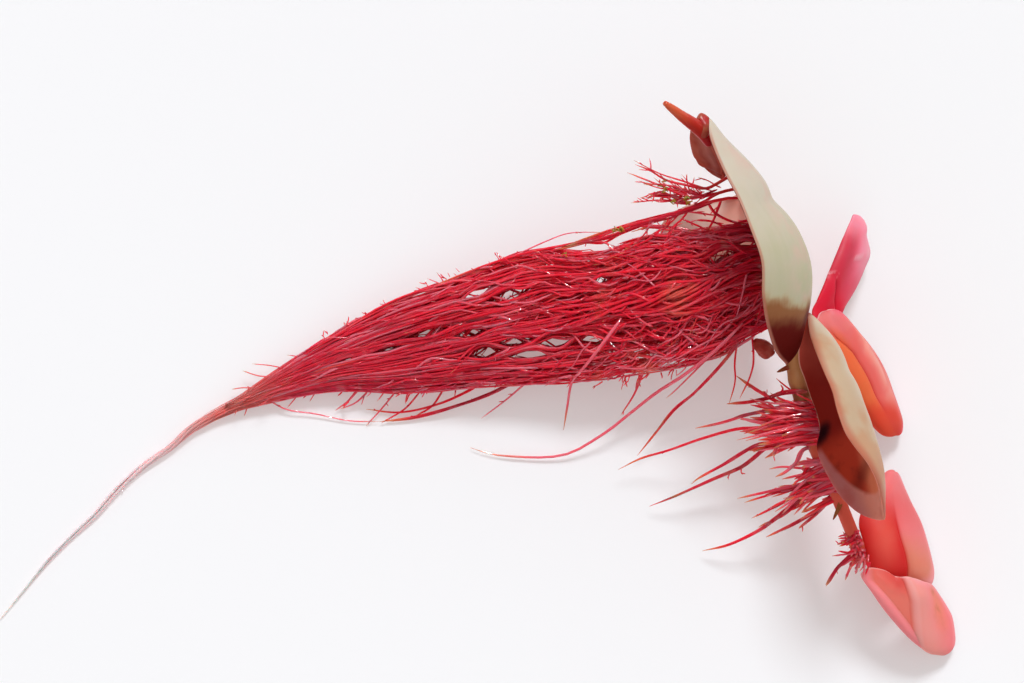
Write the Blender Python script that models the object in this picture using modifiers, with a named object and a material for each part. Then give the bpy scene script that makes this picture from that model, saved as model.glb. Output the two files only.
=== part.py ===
"""Red root floater, a small floating plant, laid on its side on a flat surface.

The stem runs down the right-hand side. Three leaf pairs stand off it: one rank rises, the other
lies out to the surface. The roots hang to the left and end in one long thin strand.

Points are in millimetres, as they line up for an eye straight above the plant, with the height
above the surface as the third number. seen() takes them to their true places in metres.
"""

import math

import bmesh
import bpy
import numpy as np
from mathutils import Vector

MM = 0.001
EYE = Vector((2.4, 2.4, 400.0))
BOX_SHIFT = Vector((0.0, 0.2, 0.0))

LEAF_THICKNESS = 0.42
LEAF_MARGIN_SHARE = 0.3
STEM_RADIUS = 0.43
STEM_TIP_RADIUS = 0.30
PETIOLE_RADIUS = 0.30
GAP = 0.09
ROOT_RADIUS = 0.20
ROOT_TIP_RADIUS = 0.09
ROOT_SIDES = 6

MAIN_ROOT_RIDGES = 17
MAIN_ROOT_STATIONS = 21
MAIN_ROOT_GROOVE = 0.18
MAIN_ROOT_WANDER = 0.05

STEM_LINE = [
    (14.9, 16.3, 9.5), (15.7, 15.0, 8.6), (16.7, 13.4, 7.8), (17.8, 11.5, 7.0),
    (18.7, 9.3, 6.6), (19.3, 7.2, 6.4), (19.8, 5.1, 6.3), (20.2, 2.8, 6.3),
    (20.5, 0.9, 6.3), (21.0, -1.1, 6.2), (21.5, -3.0, 6.1), (22.3, -5.0, 6.0),
    (23.2, -6.9, 5.9), (24.1, -8.9, 5.8), (24.9, -10.7, 5.7), (25.3, -11.5, 5.6),
]


def seen(point):
    """The true place, in metres, of a point given by how it lines up from above."""
    x, y, z = point
    share = 1 - z / EYE.z
    line_up = Vector((EYE.x + (x - EYE.x) * share, EYE.y + (y - EYE.y) * share, z))
    return (line_up + BOX_SHIFT) * MM


class Guide:
    """A smooth line through points set by hand, read by its share of length from 0 to 1."""

    def __init__(self, points, steps=24):
        places = [seen(p) for p in points]
        ends = [2 * places[0] - places[1], 2 * places[-1] - places[-2]]
        run = [ends[0], *places, ends[1]]
        dense = []
        for a, b, c, d in zip(run, run[1:], run[2:], run[3:]):
            for step in range(steps):
                t = step / steps
                dense.append(0.5 * (
                    2 * b + (c - a) * t
                    + (2 * a - 5 * b + 4 * c - d) * t ** 2
                    + (3 * b - a - 3 * c + d) * t ** 3
                ))
        dense.append(places[-1])
        self.line = np.array([list(p) for p in dense])
        lengths = np.linalg.norm(np.diff(self.line, axis=0), axis=1)
        reach = np.concatenate([[0.0], np.cumsum(lengths)])
        self.share = reach / reach[-1]

    def at(self, share):
        return Vector([np.interp(share, self.share, self.line[:, k]) for k in range(3)])


def clear_scene():
    for obj in list(bpy.data.objects):
        bpy.data.objects.remove(obj, do_unlink=True)


def collection(name):
    made = bpy.data.collections.new(name)
    bpy.context.scene.collection.children.link(made)
    return made


def finish(name, colour, roughness):
    material = bpy.data.materials.new(name)
    material.use_nodes = True
    shader = material.node_tree.nodes["Principled BSDF"]
    shader.inputs["Base Color"].default_value = (*colour, 1.0)
    shader.inputs["Roughness"].default_value = roughness
    shader.inputs["Metallic"].default_value = 0.0
    return material


def add_object(name, mesh, material=None):
    obj = bpy.data.objects.new(name, mesh)
    plant.objects.link(obj)
    if material is not None:
        mesh.materials.clear()
        mesh.materials.append(material)
    return obj


def apply_modifiers(obj):
    """Swap the object's mesh for the one that its modifiers make."""
    bpy.context.view_layer.update()
    mesh = bpy.data.meshes.new_from_object(
        obj.evaluated_get(bpy.context.evaluated_depsgraph_get())
    )
    obj.modifiers.clear()
    obj.data = mesh


def boolean(obj, others, operation):
    """Join others to obj, or cut them out of it, and remove them."""
    tools = bpy.data.collections.new("joined")
    for other in others:
        tools.objects.link(other)
    modifier = obj.modifiers.new(operation.title(), "BOOLEAN")
    modifier.operation = operation
    modifier.solver = "EXACT"
    modifier.operand_type = "COLLECTION"
    modifier.collection = tools
    apply_modifiers(obj)
    for other in others:
        bpy.data.objects.remove(other, do_unlink=True)
    bpy.data.collections.remove(tools)
    if operation == "DIFFERENCE":
        keep_largest_body(obj)


def keep_largest_body(obj):
    """Drop the crumbs that a cut leaves."""
    shape = bmesh.new()
    shape.from_mesh(obj.data)
    bodies, waiting = [], set(shape.verts)
    while waiting:
        body, edge = set(), [waiting.pop()]
        while edge:
            vert = edge.pop()
            body.add(vert)
            near = {e.other_vert(vert) for e in vert.link_edges} & waiting
            waiting -= near
            edge.extend(near)
        bodies.append(body)
    largest = max(bodies, key=len)
    crumbs = [v for body in bodies if body is not largest for v in body]
    bmesh.ops.delete(shape, geom=crumbs, context="VERTS")
    shape.to_mesh(obj.data)
    shape.free()


def tube(name, points, radii, sides=8, material=None):
    """A round tapered tube through points in metres, with closed ends."""
    curve = bpy.data.curves.new(name, "CURVE")
    curve.dimensions = "3D"
    curve.bevel_depth = 1.0
    curve.bevel_resolution = sides // 2 - 2
    curve.use_fill_caps = True
    spline = curve.splines.new("POLY")
    spline.points.add(len(points) - 1)
    for spot, place, radius in zip(spline.points, points, radii):
        spot.co = (*place, 1.0)
        spot.radius = radius * MM
    holder = bpy.data.objects.new(name, curve)
    plant.objects.link(holder)
    bpy.context.view_layer.update()
    mesh = bpy.data.meshes.new_from_object(
        holder.evaluated_get(bpy.context.evaluated_depsgraph_get())
    )
    bpy.data.objects.remove(holder, do_unlink=True)
    shape = bmesh.new()
    shape.from_mesh(mesh)
    bmesh.ops.remove_doubles(shape, verts=shape.verts, dist=1e-6)
    bmesh.ops.recalc_face_normals(shape, faces=shape.faces)
    shape.to_mesh(mesh)
    shape.free()
    return add_object(name, mesh, material)


def root(points, count, start=ROOT_RADIUS, end=ROOT_TIP_RADIUS, sides=ROOT_SIDES):
    """One root through seen points, thinning to its tip."""
    line = Guide(points)
    shares = [k / (count - 1) for k in range(count)]
    radii = [start + (end - start) * s for s in shares]
    return tube("root", [line.at(s) for s in shares], radii, sides)


def lump(centre, size, turn=0.0, detail=2):
    """A rounded knot of tissue, size in millimetres along its own axes."""
    mesh = bpy.data.meshes.new("lump")
    shape = bmesh.new()
    bmesh.ops.create_icosphere(shape, subdivisions=detail, radius=1.0)
    bmesh.ops.scale(shape, vec=Vector(size) * MM, verts=shape.verts)
    spin = Vector((math.cos(turn), math.sin(turn), 0))
    place = seen(centre)
    for vert in shape.verts:
        x, y, z = vert.co
        vert.co = place + Vector((x * spin.x - y * spin.y, x * spin.y + y * spin.x, z))
    shape.to_mesh(mesh)
    shape.free()
    return add_object("lump", mesh)


def stem_tool(extra):
    line = Guide(STEM_LINE)
    count = 24
    shares = [k / (count - 1) for k in range(count)]
    radii = [stem_radius(s) + extra for s in shares]
    return tube("stem", [line.at(s) for s in shares], radii, sides=10)


def stem_radius(share):
    return STEM_TIP_RADIUS + (STEM_RADIUS - STEM_TIP_RADIUS) * min(1.0, share * 4)


def petiole_tool(ends, extra):
    start, stop = (seen(p) for p in ends)
    reach = (stop - start).normalized() * extra * MM
    return tube("petiole", [start, stop + reach], [PETIOLE_RADIUS + extra] * 2, sides=8)


class Leaf:
    """A thin rounded blade with two raised pouches beside its midrib.

    rim is the margin far from the stem, foot the margin at the stem and ridge the line of the
    blade halfway between them. All three run from the leaf's upper end to its lower end.
    """

    def __init__(self, ends, rim, ridge, foot, side, midrib, pouch, valley):
        first, last = ends
        self.rim = Guide([first, *rim, last])
        self.ridge = Guide([first, *ridge, last])
        self.foot = Guide([first, *foot, last])
        self.side = side
        self.midrib = midrib
        self.pouch = pouch
        self.valley = valley

    def plain(self, a, b):
        """The blade before its pouches, a along the leaf and b across it, on the unit disc."""
        share = (a + 1) / 2
        width = math.sqrt(max(1 - a * a, 1e-6))
        v = max(-1.0, min(1.0, b / width))
        rim, ridge, foot = self.rim.at(share), self.ridge.at(share), self.foot.at(share)
        return ridge + (rim - foot) * (v / 2) + ((rim + foot) / 2 - ridge) * (v * v)

    def at(self, a, b):
        step, inner = 0.02, 0.95
        ca, cb = a * inner, b * inner
        along = self.plain(ca + step, cb) - self.plain(ca - step, cb)
        across = self.plain(ca, cb + step) - self.plain(ca, cb - step)
        normal = across.cross(along).normalized() * self.side
        off = (a - self.midrib) / 0.42
        dome = max(0.0, 1 - a * a - b * b)
        rise = self.pouch * dome * min(1.0, abs(off)) ** 0.8
        dip = self.valley * math.exp(-(off / 0.3) ** 2) * dome ** 0.5
        return self.plain(a, b) + normal * ((rise - dip) * MM)


def disc(s, t):
    """A square's point moved onto the unit disc."""
    return s * math.sqrt(1 - t * t / 2), t * math.sqrt(1 - s * s / 2)


def build_leaf(name, leaf, petiole, cells, material):
    """The blade as a sheet, thinner at its margin, cut clear of the stem and its own stalk."""
    along, across = cells
    mesh = bpy.data.meshes.new(name)
    shape = bmesh.new()
    bmesh.ops.create_grid(shape, x_segments=along, y_segments=across, size=1.0)
    fullness = []
    for vert in shape.verts:
        a, b = disc(vert.co.x, vert.co.y)
        fullness.append(min(1.0, 1.4 * math.sqrt(max(0.0, 1 - a * a - b * b))))
        vert.co = leaf.at(a, b)
    bmesh.ops.recalc_face_normals(shape, faces=shape.faces)
    shape.to_mesh(mesh)
    shape.free()
    obj = add_object(name, mesh, material)
    thick = obj.vertex_groups.new(name="thickness")
    for index, weight in enumerate(fullness):
        thick.add([index], weight, "REPLACE")
    solid = obj.modifiers.new("Solidify", "SOLIDIFY")
    solid.thickness = LEAF_THICKNESS * MM
    solid.offset = 0.0
    solid.vertex_group = thick.name
    solid.thickness_vertex_group = LEAF_MARGIN_SHARE
    apply_modifiers(obj)
    boolean(obj, [stem_tool(GAP), petiole_tool(petiole, GAP)], "DIFFERENCE")
    return obj


def large_pale_leaf():
    ends = (15.2, 16.9, 11.8), (20.2, 0.9, 9.9)
    rim = [
        (15.3, 15.6, 14.0), (16.1, 13.6, 15.5), (17.1, 11.7, 16.5),
        (17.9, 9.7, 17.0), (18.6, 7.6, 17.0), (18.8, 5.4, 16.4), (19.1, 3.5, 15.0),
        (19.6, 1.7, 12.5),
    ]
    ridge = [
        (16.2, 15.3, 12.2), (17.7, 13.5, 12.5), (19.1, 11.6, 12.1), (20.0, 10.5, 12.3),
        (20.7, 9.2, 12.4), (21.4, 7.1, 12.2), (21.4, 5.1, 11.6), (21.1, 3.5, 10.8),
        (20.8, 1.9, 10.2),
    ]
    foot = [
        (15.9, 15.4, 9.8), (17.0, 13.2, 8.2), (18.0, 11.3, 7.4),
        (19.1, 9.3, 7.7), (19.7, 7.4, 8.1), (20.2, 5.1, 8.5), (20.5, 3.2, 8.7),
        (20.4, 1.6, 9.1),
    ]
    return Leaf(ends, rim, ridge, foot, 1, -0.30, 0.25, 0.25)


def cupped_leaf():
    ends = (21.7, 4.3, 7.9), (26.6, -9.4, 11.2)
    rim = [
        (21.9, 2.9, 10.4), (22.4, 1.1, 13.2), (23.2, -0.6, 14.8),
        (23.8, -2.4, 15.8), (24.4, -3.7, 16.0), (25.2, -5.1, 16.0), (26.1, -6.6, 15.2),
        (26.6, -8.1, 13.6),
    ]
    ridge = [
        (22.5, 3.1, 9.0), (23.5, 1.4, 10.2), (24.4, -0.5, 10.7), (25.1, -2.3, 10.9),
        (25.8, -4.4, 10.9), (26.2, -6.0, 10.9), (26.4, -7.8, 11.0),
    ]
    foot = [
        (21.3, 2.4, 7.6), (21.4, 0.7, 7.2), (21.7, -0.9, 7.0), (22.3, -2.4, 7.3),
        (22.6, -4.0, 7.6), (22.7, -5.7, 8.2), (23.2, -7.2, 8.8), (24.3, -8.4, 9.5),
        (25.3, -9.1, 10.2),
    ]
    return Leaf(ends, rim, ridge, foot, 1, -0.28, 0.2, 0.2)


def folded_pink_leaf():
    ends = (24.7, 10.6, 3.6), (27.4, -3.8, 1.2)
    rim = [
        (25.1, 10.3, 3.0), (25.4, 9.6, 2.4), (25.7, 8.4, 1.5), (25.1, 6.7, 1.2), (24.4, 5.3, 1.5),
        (23.9, 4.2, 2.2), (25.0, 3.3, 1.2), (26.1, 1.9, 0.6), (27.0, -0.1, 0.3),
        (27.7, -2.0, 0.3), (27.8, -3.1, 0.6),
    ]
    ridge = [
        (25.0, 9.0, 4.3), (24.3, 7.0, 4.7), (23.2, 4.9, 4.7), (22.9, 3.4, 4.7),
        (23.7, 1.8, 4.9), (24.9, -0.2, 4.2), (26.2, -2.2, 3.0),
    ]
    foot = [
        (23.9, 9.0, 5.0), (23.0, 7.1, 5.7), (21.9, 4.6, 6.2), (21.3, 2.8, 6.1),
        (21.0, 1.9, 6.1), (21.9, 0.2, 5.6), (23.4, -1.4, 4.7), (25.1, -2.6, 3.3),
        (26.4, -3.4, 2.3),
    ]
    return Leaf(ends, rim, ridge, foot, -1, 0.0, 0.3, 0.35)


def end_leaf():
    ends = (27.1, -6.0, 3.2), (30.4, -18.1, 1.3)
    rim = [
        (27.6, -6.1, 2.7), (28.0, -6.9, 1.9), (28.8, -9.1, 0.8), (29.4, -11.1, 0.4), (29.7, -13.2, 0.8),
        (30.5, -14.5, 0.3), (31.1, -16.0, 0.3), (31.1, -17.4, 0.6),
    ]
    ridge = [
        (27.1, -7.6, 4.6), (27.2, -9.2, 5.0), (27.5, -11.2, 4.9), (27.6, -12.6, 4.3),
        (28.0, -13.8, 4.5), (28.8, -15.4, 3.8), (29.8, -17.0, 2.5),
    ]
    foot = [
        (26.1, -7.2, 4.8), (25.1, -8.9, 5.7), (24.9, -10.0, 5.9), (25.3, -11.3, 5.8),
        (24.9, -12.6, 5.6), (25.8, -13.9, 5.0), (27.1, -15.6, 3.9), (28.6, -17.1, 2.7),
    ]
    return Leaf(ends, rim, ridge, foot, -1, 0.03, 0.3, 0.35)


def lower_leaf():
    ends = (17.2, 11.9, 2.9), (18.5, 3.8, 2.5)
    rim = [
        (15.4, 11.6, 1.8), (13.4, 11.1, 1.3), (12.1, 10.0, 0.9), (12.4, 8.3, 0.6),
        (14.2, 6.4, 0.5), (16.6, 4.7, 1.0),
    ]
    ridge = [
        (17.1, 10.9, 2.5), (16.9, 9.5, 2.5), (17.2, 7.8, 2.4), (17.7, 6.3, 2.3),
        (18.2, 4.9, 2.4),
    ]
    foot = [
        (18.1, 11.1, 4.6), (18.8, 9.5, 5.7), (19.3, 7.6, 5.9), (19.5, 5.8, 5.5),
        (19.1, 4.5, 4.2),
    ]
    return Leaf(ends, rim, ridge, foot, -1, 0.05, 0.25, 0.1)


def small_dark_leaf():
    ends = (14.3, 16.3, 7.6), (16.4, 12.9, 7.1)
    rim = [(14.1, 15.5, 6.3), (14.4, 14.6, 5.6), (15.0, 13.8, 5.6), (15.7, 13.3, 6.0)]
    ridge = [(14.7, 15.6, 6.9), (15.1, 14.7, 6.5), (15.5, 13.9, 6.5), (15.9, 13.4, 6.7)]
    foot = [(15.0, 16.0, 8.3), (15.6, 15.0, 8.5), (16.0, 14.2, 8.3), (16.3, 13.4, 7.9)]
    return Leaf(ends, rim, ridge, foot, -1, 0.0, 0.1, 0.1)


LEAVES = {
    "leaf_large_pale": (large_pale_leaf, ((18.0, 11.3, 6.9), (18.3, 11.2, 7.9)), (14, 12)),
    "leaf_cupped_dark": (cupped_leaf, ((21.0, -1.0, 6.2), (21.9, -0.8, 7.2)), (14, 12)),
    "leaf_folded_pink": (folded_pink_leaf, ((20.3, 2.0, 6.3), (21.4, 2.0, 6.0)), (16, 10)),
    "leaf_end_pink": (end_leaf, ((25.0, -11.2, 5.7), (25.7, -11.4, 5.6)), (14, 10)),
    "leaf_under_roots": (lower_leaf, ((19.2, 7.7, 6.4), (18.9, 7.8, 5.3)), (10, 8)),
    "leaf_small_dark": (small_dark_leaf, ((15.7, 15.0, 8.6), (15.3, 14.9, 7.8)), (8, 6)),
}


def build_stem(material):
    """The stem with its leaf stalks and two dry scales."""
    obj = stem_tool(0.0)
    obj.name = "stem"
    obj.data.materials.append(material)
    stalks = [petiole_tool(ends, 0.0) for _, ends, _ in LEAVES.values()]
    scales = [
        tube("scale", [seen((20.4, 0.6, 6.3)), seen((19.6, 0.3, 6.5))], [0.28, 0.05], 6),
        tube("scale", [seen((23.9, -8.2, 5.9)), seen((23.2, -8.9, 6.0))], [0.30, 0.06], 6),
    ]
    boolean(obj, stalks + scales, "UNION")
    return obj


def build_young_leaf(material):
    """The youngest leaf, still rolled into a spindle."""
    line = Guide([(15.0, 16.1, 9.8), (14.3, 16.7, 10.6), (13.3, 17.3, 11.6), (12.4, 17.9, 12.5)])
    radii = [0.56, 0.60, 0.52, 0.42, 0.32, 0.16]
    shares = [k / (len(radii) - 1) for k in range(len(radii))]
    obj = tube("leaf_rolled_young", [line.at(s) for s in shares], radii, 10, material)
    boolean(obj, [stem_tool(GAP)], "DIFFERENCE")
    return obj


def build_tip_bud(material, young_leaf_reach):
    """The small round bud at the stem's growing end, pressed against the rolled leaf."""
    obj = lump((14.9, 16.9, 10.6), (0.55, 0.50, 0.6))
    obj.name = "bud_at_tip"
    obj.data.materials.append(material)
    line = Guide([(15.0, 16.1, 9.8), (14.3, 16.7, 10.6), (13.3, 17.3, 11.6)])
    cutter = tube("cutter", [line.at(s) for s in (0, 0.5, 1)], [young_leaf_reach] * 3, 10)
    boolean(obj, [stem_tool(GAP), cutter], "DIFFERENCE")
    return obj


def build_brown_bud(material):
    """A withered bud on a short stalk beside the stem."""
    obj = lump((18.8, 1.8, 6.2), (0.62, 0.50, 0.52), turn=-0.5)
    obj.name = "bud_withered"
    obj.data.materials.append(material)
    stalk = tube("stalk", [seen((18.9, 1.7, 6.2)), seen((20.4, 1.3, 6.3))], [0.22, 0.22], 8)
    boolean(obj, [stalk], "UNION")
    boolean(obj, [stem_tool(GAP)], "DIFFERENCE")
    return obj


def main_root_body():
    """The thick bundle as a ridged body between its two outlines, thinning into its tail."""
    upper = Guide([
        (17.3, 11.6, 7.4), (13.9, 11.1, 6.5), (8.7, 9.8, 4.6), (3.1, 8.3, 3.3),
        (-1.9, 6.4, 2.4), (-6.1, 4.7, 1.8), (-11.5, 1.5, 1.1), (-15.9, -1.5, 0.6),
    ])
    lower = Guide([
        (19.2, 2.9, 7.4), (15.4, 1.2, 6.3), (10.5, 0.2, 4.4), (6.5, -0.3, 3.3),
        (1.0, -0.6, 2.4), (-4.6, -1.0, 1.7), (-9.6, -0.9, 1.0), (-15.9, -2.2, 0.6),
    ])
    tail = Guide([
        (-14.6, -1.5, 0.75), (-16.4, -2.1, 0.55), (-18.5, -3.3, 0.45), (-19.7, -4.4, 0.4), (-21.7, -5.8, 0.3),
        (-23.4, -7.4, 0.25), (-24.7, -8.9, 0.25), (-26.3, -10.4, 0.2), (-27.9, -12.1, 0.2),
        (-29.5, -14.1, 0.18), (-31.2, -16.1, 0.18),
    ])
    heights = [2.0, 2.6, 2.6, 2.3, 2.0, 1.7, 1.35, 0.85, 0.45]
    shape = bmesh.new()
    rings = []
    sides = 2 * MAIN_ROOT_RIDGES
    for station in range(MAIN_ROOT_STATIONS):
        share = station / (MAIN_ROOT_STATIONS - 1)
        top, bottom = upper.at(share), lower.at(share)
        height = np.interp(share * (len(heights) - 1), range(len(heights)), heights) * MM
        fall = min(1.0, 0.84 + 0.16 * math.sin(min(1.0, share * 6) * math.pi / 2))
        ring = []
        for side in range(sides):
            turn = 2 * math.pi * side / sides + 0.5 * share
            groove = MAIN_ROOT_GROOVE * (side % 2) * (1 - 0.5 * share)
            wander = MAIN_ROOT_WANDER * math.sin(2.6 * side + 13 * share)
            swell = fall * (1 - groove + wander)
            middle = (top + bottom) / 2
            reach = (top - bottom) / 2 * math.cos(turn) + Vector((0, 0, height)) * math.sin(turn)
            ring.append(shape.verts.new(middle + reach * swell))
        rings.append(ring)
    for ring, after in zip(rings, rings[1:]):
        for k in range(sides):
            shape.faces.new((ring[k], ring[k - 1], after[k - 1], after[k]))
    shape.faces.new(rings[0])
    shape.faces.new(list(reversed(rings[-1])))
    bmesh.ops.recalc_face_normals(shape, faces=shape.faces)
    mesh = bpy.data.meshes.new("root_bundle_main")
    shape.to_mesh(mesh)
    shape.free()
    body = add_object("root_bundle_main", mesh)
    shares = [k / 13 for k in range(14)]
    radii = [0.45 - 0.31 * s ** 0.6 for s in shares]
    strand = tube("tail", [tail.at(s) for s in shares], radii, ROOT_SIDES)
    return body, strand


def build_main_roots(material):
    """The bundle, its tail, the loose roots below it and the tuft above it, grown as one."""
    body, tail = main_root_body()
    body.data.materials.append(material)
    loose = [
        root([(15.8, 3.2, 5.8), (14.4, -0.3, 3.6), (13.2, -1.8, 2.6), (10.5, -5.0, 0.8)], 7),
        root([(15.0, 2.9, 5.4), (11.7, -1.1, 3.0), (8.2, -3.7, 1.3), (5.6, -5.0, 0.5),
              (1.7, -5.0, 0.3), (-0.3, -4.5, 0.3)], 12),
        root([(11.3, 1.4, 4.2), (10.4, -0.9, 2.8), (9.5, -2.4, 1.8)], 5),
        root([(17.8, 4.6, 6.6), (17.6, -0.3, 5.0), (17.2, -1.3, 4.4)], 5),
        root([(6.9, 0.8, 3.4), (5.7, -2.4, 1.2), (6.1, -4.3, 0.5)], 6),
        root([(-13.9, -1.1, 0.9), (-12.3, -2.0, 0.5), (-10.4, -2.3, 0.35), (-6.2, -2.8, 0.35),
              (-1.6, -1.9, 0.8), (1.0, -0.9, 1.6), (2.6, -0.1, 2.2)], 12),
    ]
    tuft = [
        root([(17.2, 12.6, 7.7), (14.7, 12.3, 8.0), (12.6, 11.7, 7.8), (10.1, 10.6, 6.4),
              (6.8, 8.4, 4.2)], 10),
        root([(16.3, 10.4, 6.8), (15.0, 12.0, 8.4), (12.8, 12.7, 9.0), (10.3, 14.2, 9.0)], 8),
        root([(15.2, 10.2, 6.6), (14.0, 11.3, 7.8), (11.4, 11.9, 8.1), (9.8, 13.5, 7.8)], 8),
        root([(14.0, 10.0, 6.2), (13.4, 12.3, 8.5), (11.7, 11.9, 8.4), (10.2, 11.5, 8.0)], 7),
    ]
    boolean(body, [tail, *loose, *tuft], "UNION")
    boolean(body, [stem_tool(GAP)], "DIFFERENCE")
    return body


def root_cluster(name, core, roots, material):
    """Roots that grow from one joint of the stem, fused where they meet."""
    core.name = name
    core.data.materials.append(material)
    boolean(core, roots, "UNION")
    boolean(core, [stem_tool(GAP)], "DIFFERENCE")
    return core


def build_middle_roots(material):
    core = lump((20.2, -2.9, 5.9), (1.9, 1.1, 0.9), turn=0.15)
    roots = [
        root([(21.2, -1.4, 6.2), (19.8, -1.0, 6.4), (18.4, -1.3, 6.2), (16.5, -1.7, 5.6)], 7),
        root([(21.0, -2.2, 6.2), (18.6, -2.0, 6.2), (16.7, -2.5, 5.6), (14.2, -3.2, 4.6)], 7),
        root([(20.8, -3.2, 5.9), (18.4, -3.3, 5.6), (14.7, -3.9, 4.2), (12.2, -4.8, 2.8),
              (9.3, -5.9, 1.4)], 10),
        root([(21.0, -3.6, 5.6), (19.2, -4.4, 5.0), (17.4, -5.6, 4.0), (13.7, -7.4, 2.2),
              (11.3, -8.4, 0.8)], 9),
        root([(20.6, -3.9, 5.8), (18.0, -4.5, 5.9), (16.3, -5.4, 5.2), (13.7, -7.2, 3.6)], 7),
    ]
    return root_cluster("roots_middle", core, roots, material)


def build_lower_roots(material):
    core = lump((22.4, -6.7, 5.7), (1.2, 1.2, 0.9), turn=0.4)
    roots = [
        root([(22.4, -6.0, 5.9), (20.8, -5.6, 5.8), (19.0, -5.9, 5.0)], 5),
        root([(22.4, -6.4, 5.7), (20.2, -6.9, 5.2), (17.1, -7.8, 4.0)], 6),
        root([(22.6, -6.8, 5.6), (20.6, -8.0, 4.8), (18.0, -9.1, 3.4)], 6),
        root([(22.8, -7.3, 5.6), (20.3, -8.9, 4.4), (18.6, -9.9, 3.0), (16.7, -10.9, 1.8),
              (14.8, -11.2, 0.8)], 9),
        root([(22.8, -7.5, 5.4), (21.8, -8.8, 4.6), (20.9, -9.8, 3.8)], 5),
    ]
    return root_cluster("roots_lower", core, roots, material)


def build_end_roots(material):
    core = lump((24.6, -11.1, 5.6), (0.85, 1.1, 0.85), turn=-0.4)
    roots = [
        root([(24.6, -11.3, 5.6), (23.7, -12.4, 4.8), (22.8, -13.5, 4.0)], 5, 0.28, 0.12),
        root([(24.8, -11.5, 5.6), (24.4, -12.6, 4.8), (24.1, -13.2, 4.2)], 5, 0.24, 0.12),
        root([(24.9, -11.5, 5.4), (24.8, -12.4, 4.6), (24.7, -12.8, 3.8)], 5, 0.22, 0.12),
        root([(24.5, -10.9, 5.6), (23.9, -11.0, 5.3), (23.4, -10.9, 5.0)], 4, 0.24, 0.12),
    ]
    return root_cluster("roots_end", core, roots, material)


clear_scene()
plant = collection("red_root_floater")

pale = finish("pale_leaf", (0.55, 0.50, 0.36), 0.45)
maroon = finish("maroon_leaf", (0.14, 0.015, 0.012), 0.40)
pink = finish("pink_leaf", (0.75, 0.10, 0.12), 0.40)
tan = finish("stem", (0.42, 0.16, 0.06), 0.45)
crimson = finish("root", (0.42, 0.012, 0.025), 0.35)
brown = finish("bud", (0.18, 0.06, 0.04), 0.55)

LEAF_FINISH = {
    "leaf_large_pale": pale, "leaf_cupped_dark": maroon, "leaf_folded_pink": pink,
    "leaf_end_pink": pink, "leaf_under_roots": maroon, "leaf_small_dark": maroon,
}

build_stem(tan)
for leaf_name, (shape_of, stalk_ends, grid) in LEAVES.items():
    build_leaf(leaf_name, shape_of(), stalk_ends, grid, LEAF_FINISH[leaf_name])
build_young_leaf(maroon)
build_tip_bud(brown, 0.72)
build_brown_bud(brown)
build_main_roots(crimson)
build_middle_roots(crimson)
build_lower_roots(crimson)
build_end_roots(crimson)
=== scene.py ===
import math

import bpy
import numpy as np
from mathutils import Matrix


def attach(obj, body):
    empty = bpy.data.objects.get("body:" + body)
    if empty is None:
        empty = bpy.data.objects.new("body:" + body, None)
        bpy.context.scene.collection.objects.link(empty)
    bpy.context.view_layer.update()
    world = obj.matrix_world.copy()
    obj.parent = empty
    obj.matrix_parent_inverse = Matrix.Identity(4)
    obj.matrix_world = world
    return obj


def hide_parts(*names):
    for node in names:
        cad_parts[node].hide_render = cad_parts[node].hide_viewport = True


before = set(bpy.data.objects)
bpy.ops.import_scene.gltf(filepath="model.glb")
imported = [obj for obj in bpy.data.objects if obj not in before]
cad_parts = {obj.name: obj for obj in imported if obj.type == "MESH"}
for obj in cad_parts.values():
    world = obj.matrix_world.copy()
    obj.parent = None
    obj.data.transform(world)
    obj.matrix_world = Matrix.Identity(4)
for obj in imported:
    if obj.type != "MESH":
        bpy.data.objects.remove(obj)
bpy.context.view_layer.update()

# A red root floater laid on its side on a white surface, seen from straight above.
# Places are in millimetres as they line up for the eye above the plant, with the height as the
# third number. seen() takes them to their true places in metres.

mm = 0.001
eye = np.array((2.4, 2.4, 400.0))
boxShift = np.array((0.0, 0.2, 0.0))

pictureView = {
    "lens": 216.35,
    "sensor": 36.0,
    "clip": (0.01, 20.0),
    "floorSize": 3.0,
    "floorGlow": 0.26,
    "glowColour": (1.0, 0.91, 0.89, 1.0),
    "skyStrength": 0.62,
    "skyColour": (1.0, 0.965, 0.95),
    "sunStrength": 1.80,
    "sunColour": (0.95, 1.0, 1.03),
    "sunWidth": 14.0,
    "sunFrom": (0.30, 1.0, 1.25),
    "sunPlace": (0.1, 0.3, 0.4),
    "lampStrength": 15.0,
    "lampWidth": 15.0,
    "lampColour": (1, 1, 1),
}


def seen(points):
    points = np.asarray(points, float)
    share = 1 - points[..., 2:] / eye[2]
    flat = eye[:2] + (points[..., :2] - eye[:2]) * share
    return (np.concatenate([flat, points[..., 2:]], axis=-1) + boxShift) * mm


def unit(vectors):
    return vectors / np.maximum(np.linalg.norm(vectors, axis=-1, keepdims=True), 1e-12)


def fade(value, low, high):
    t = np.clip((value - low) / (high - low), 0, 1)
    return t * t * (3 - 2 * t)


def readAlong(spots, marks, line):
    # the line's places at these spots, where marks says how far along each of its points is
    return np.stack([np.interp(spots, marks, line[:, k]) for k in range(3)], axis=-1)


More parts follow.
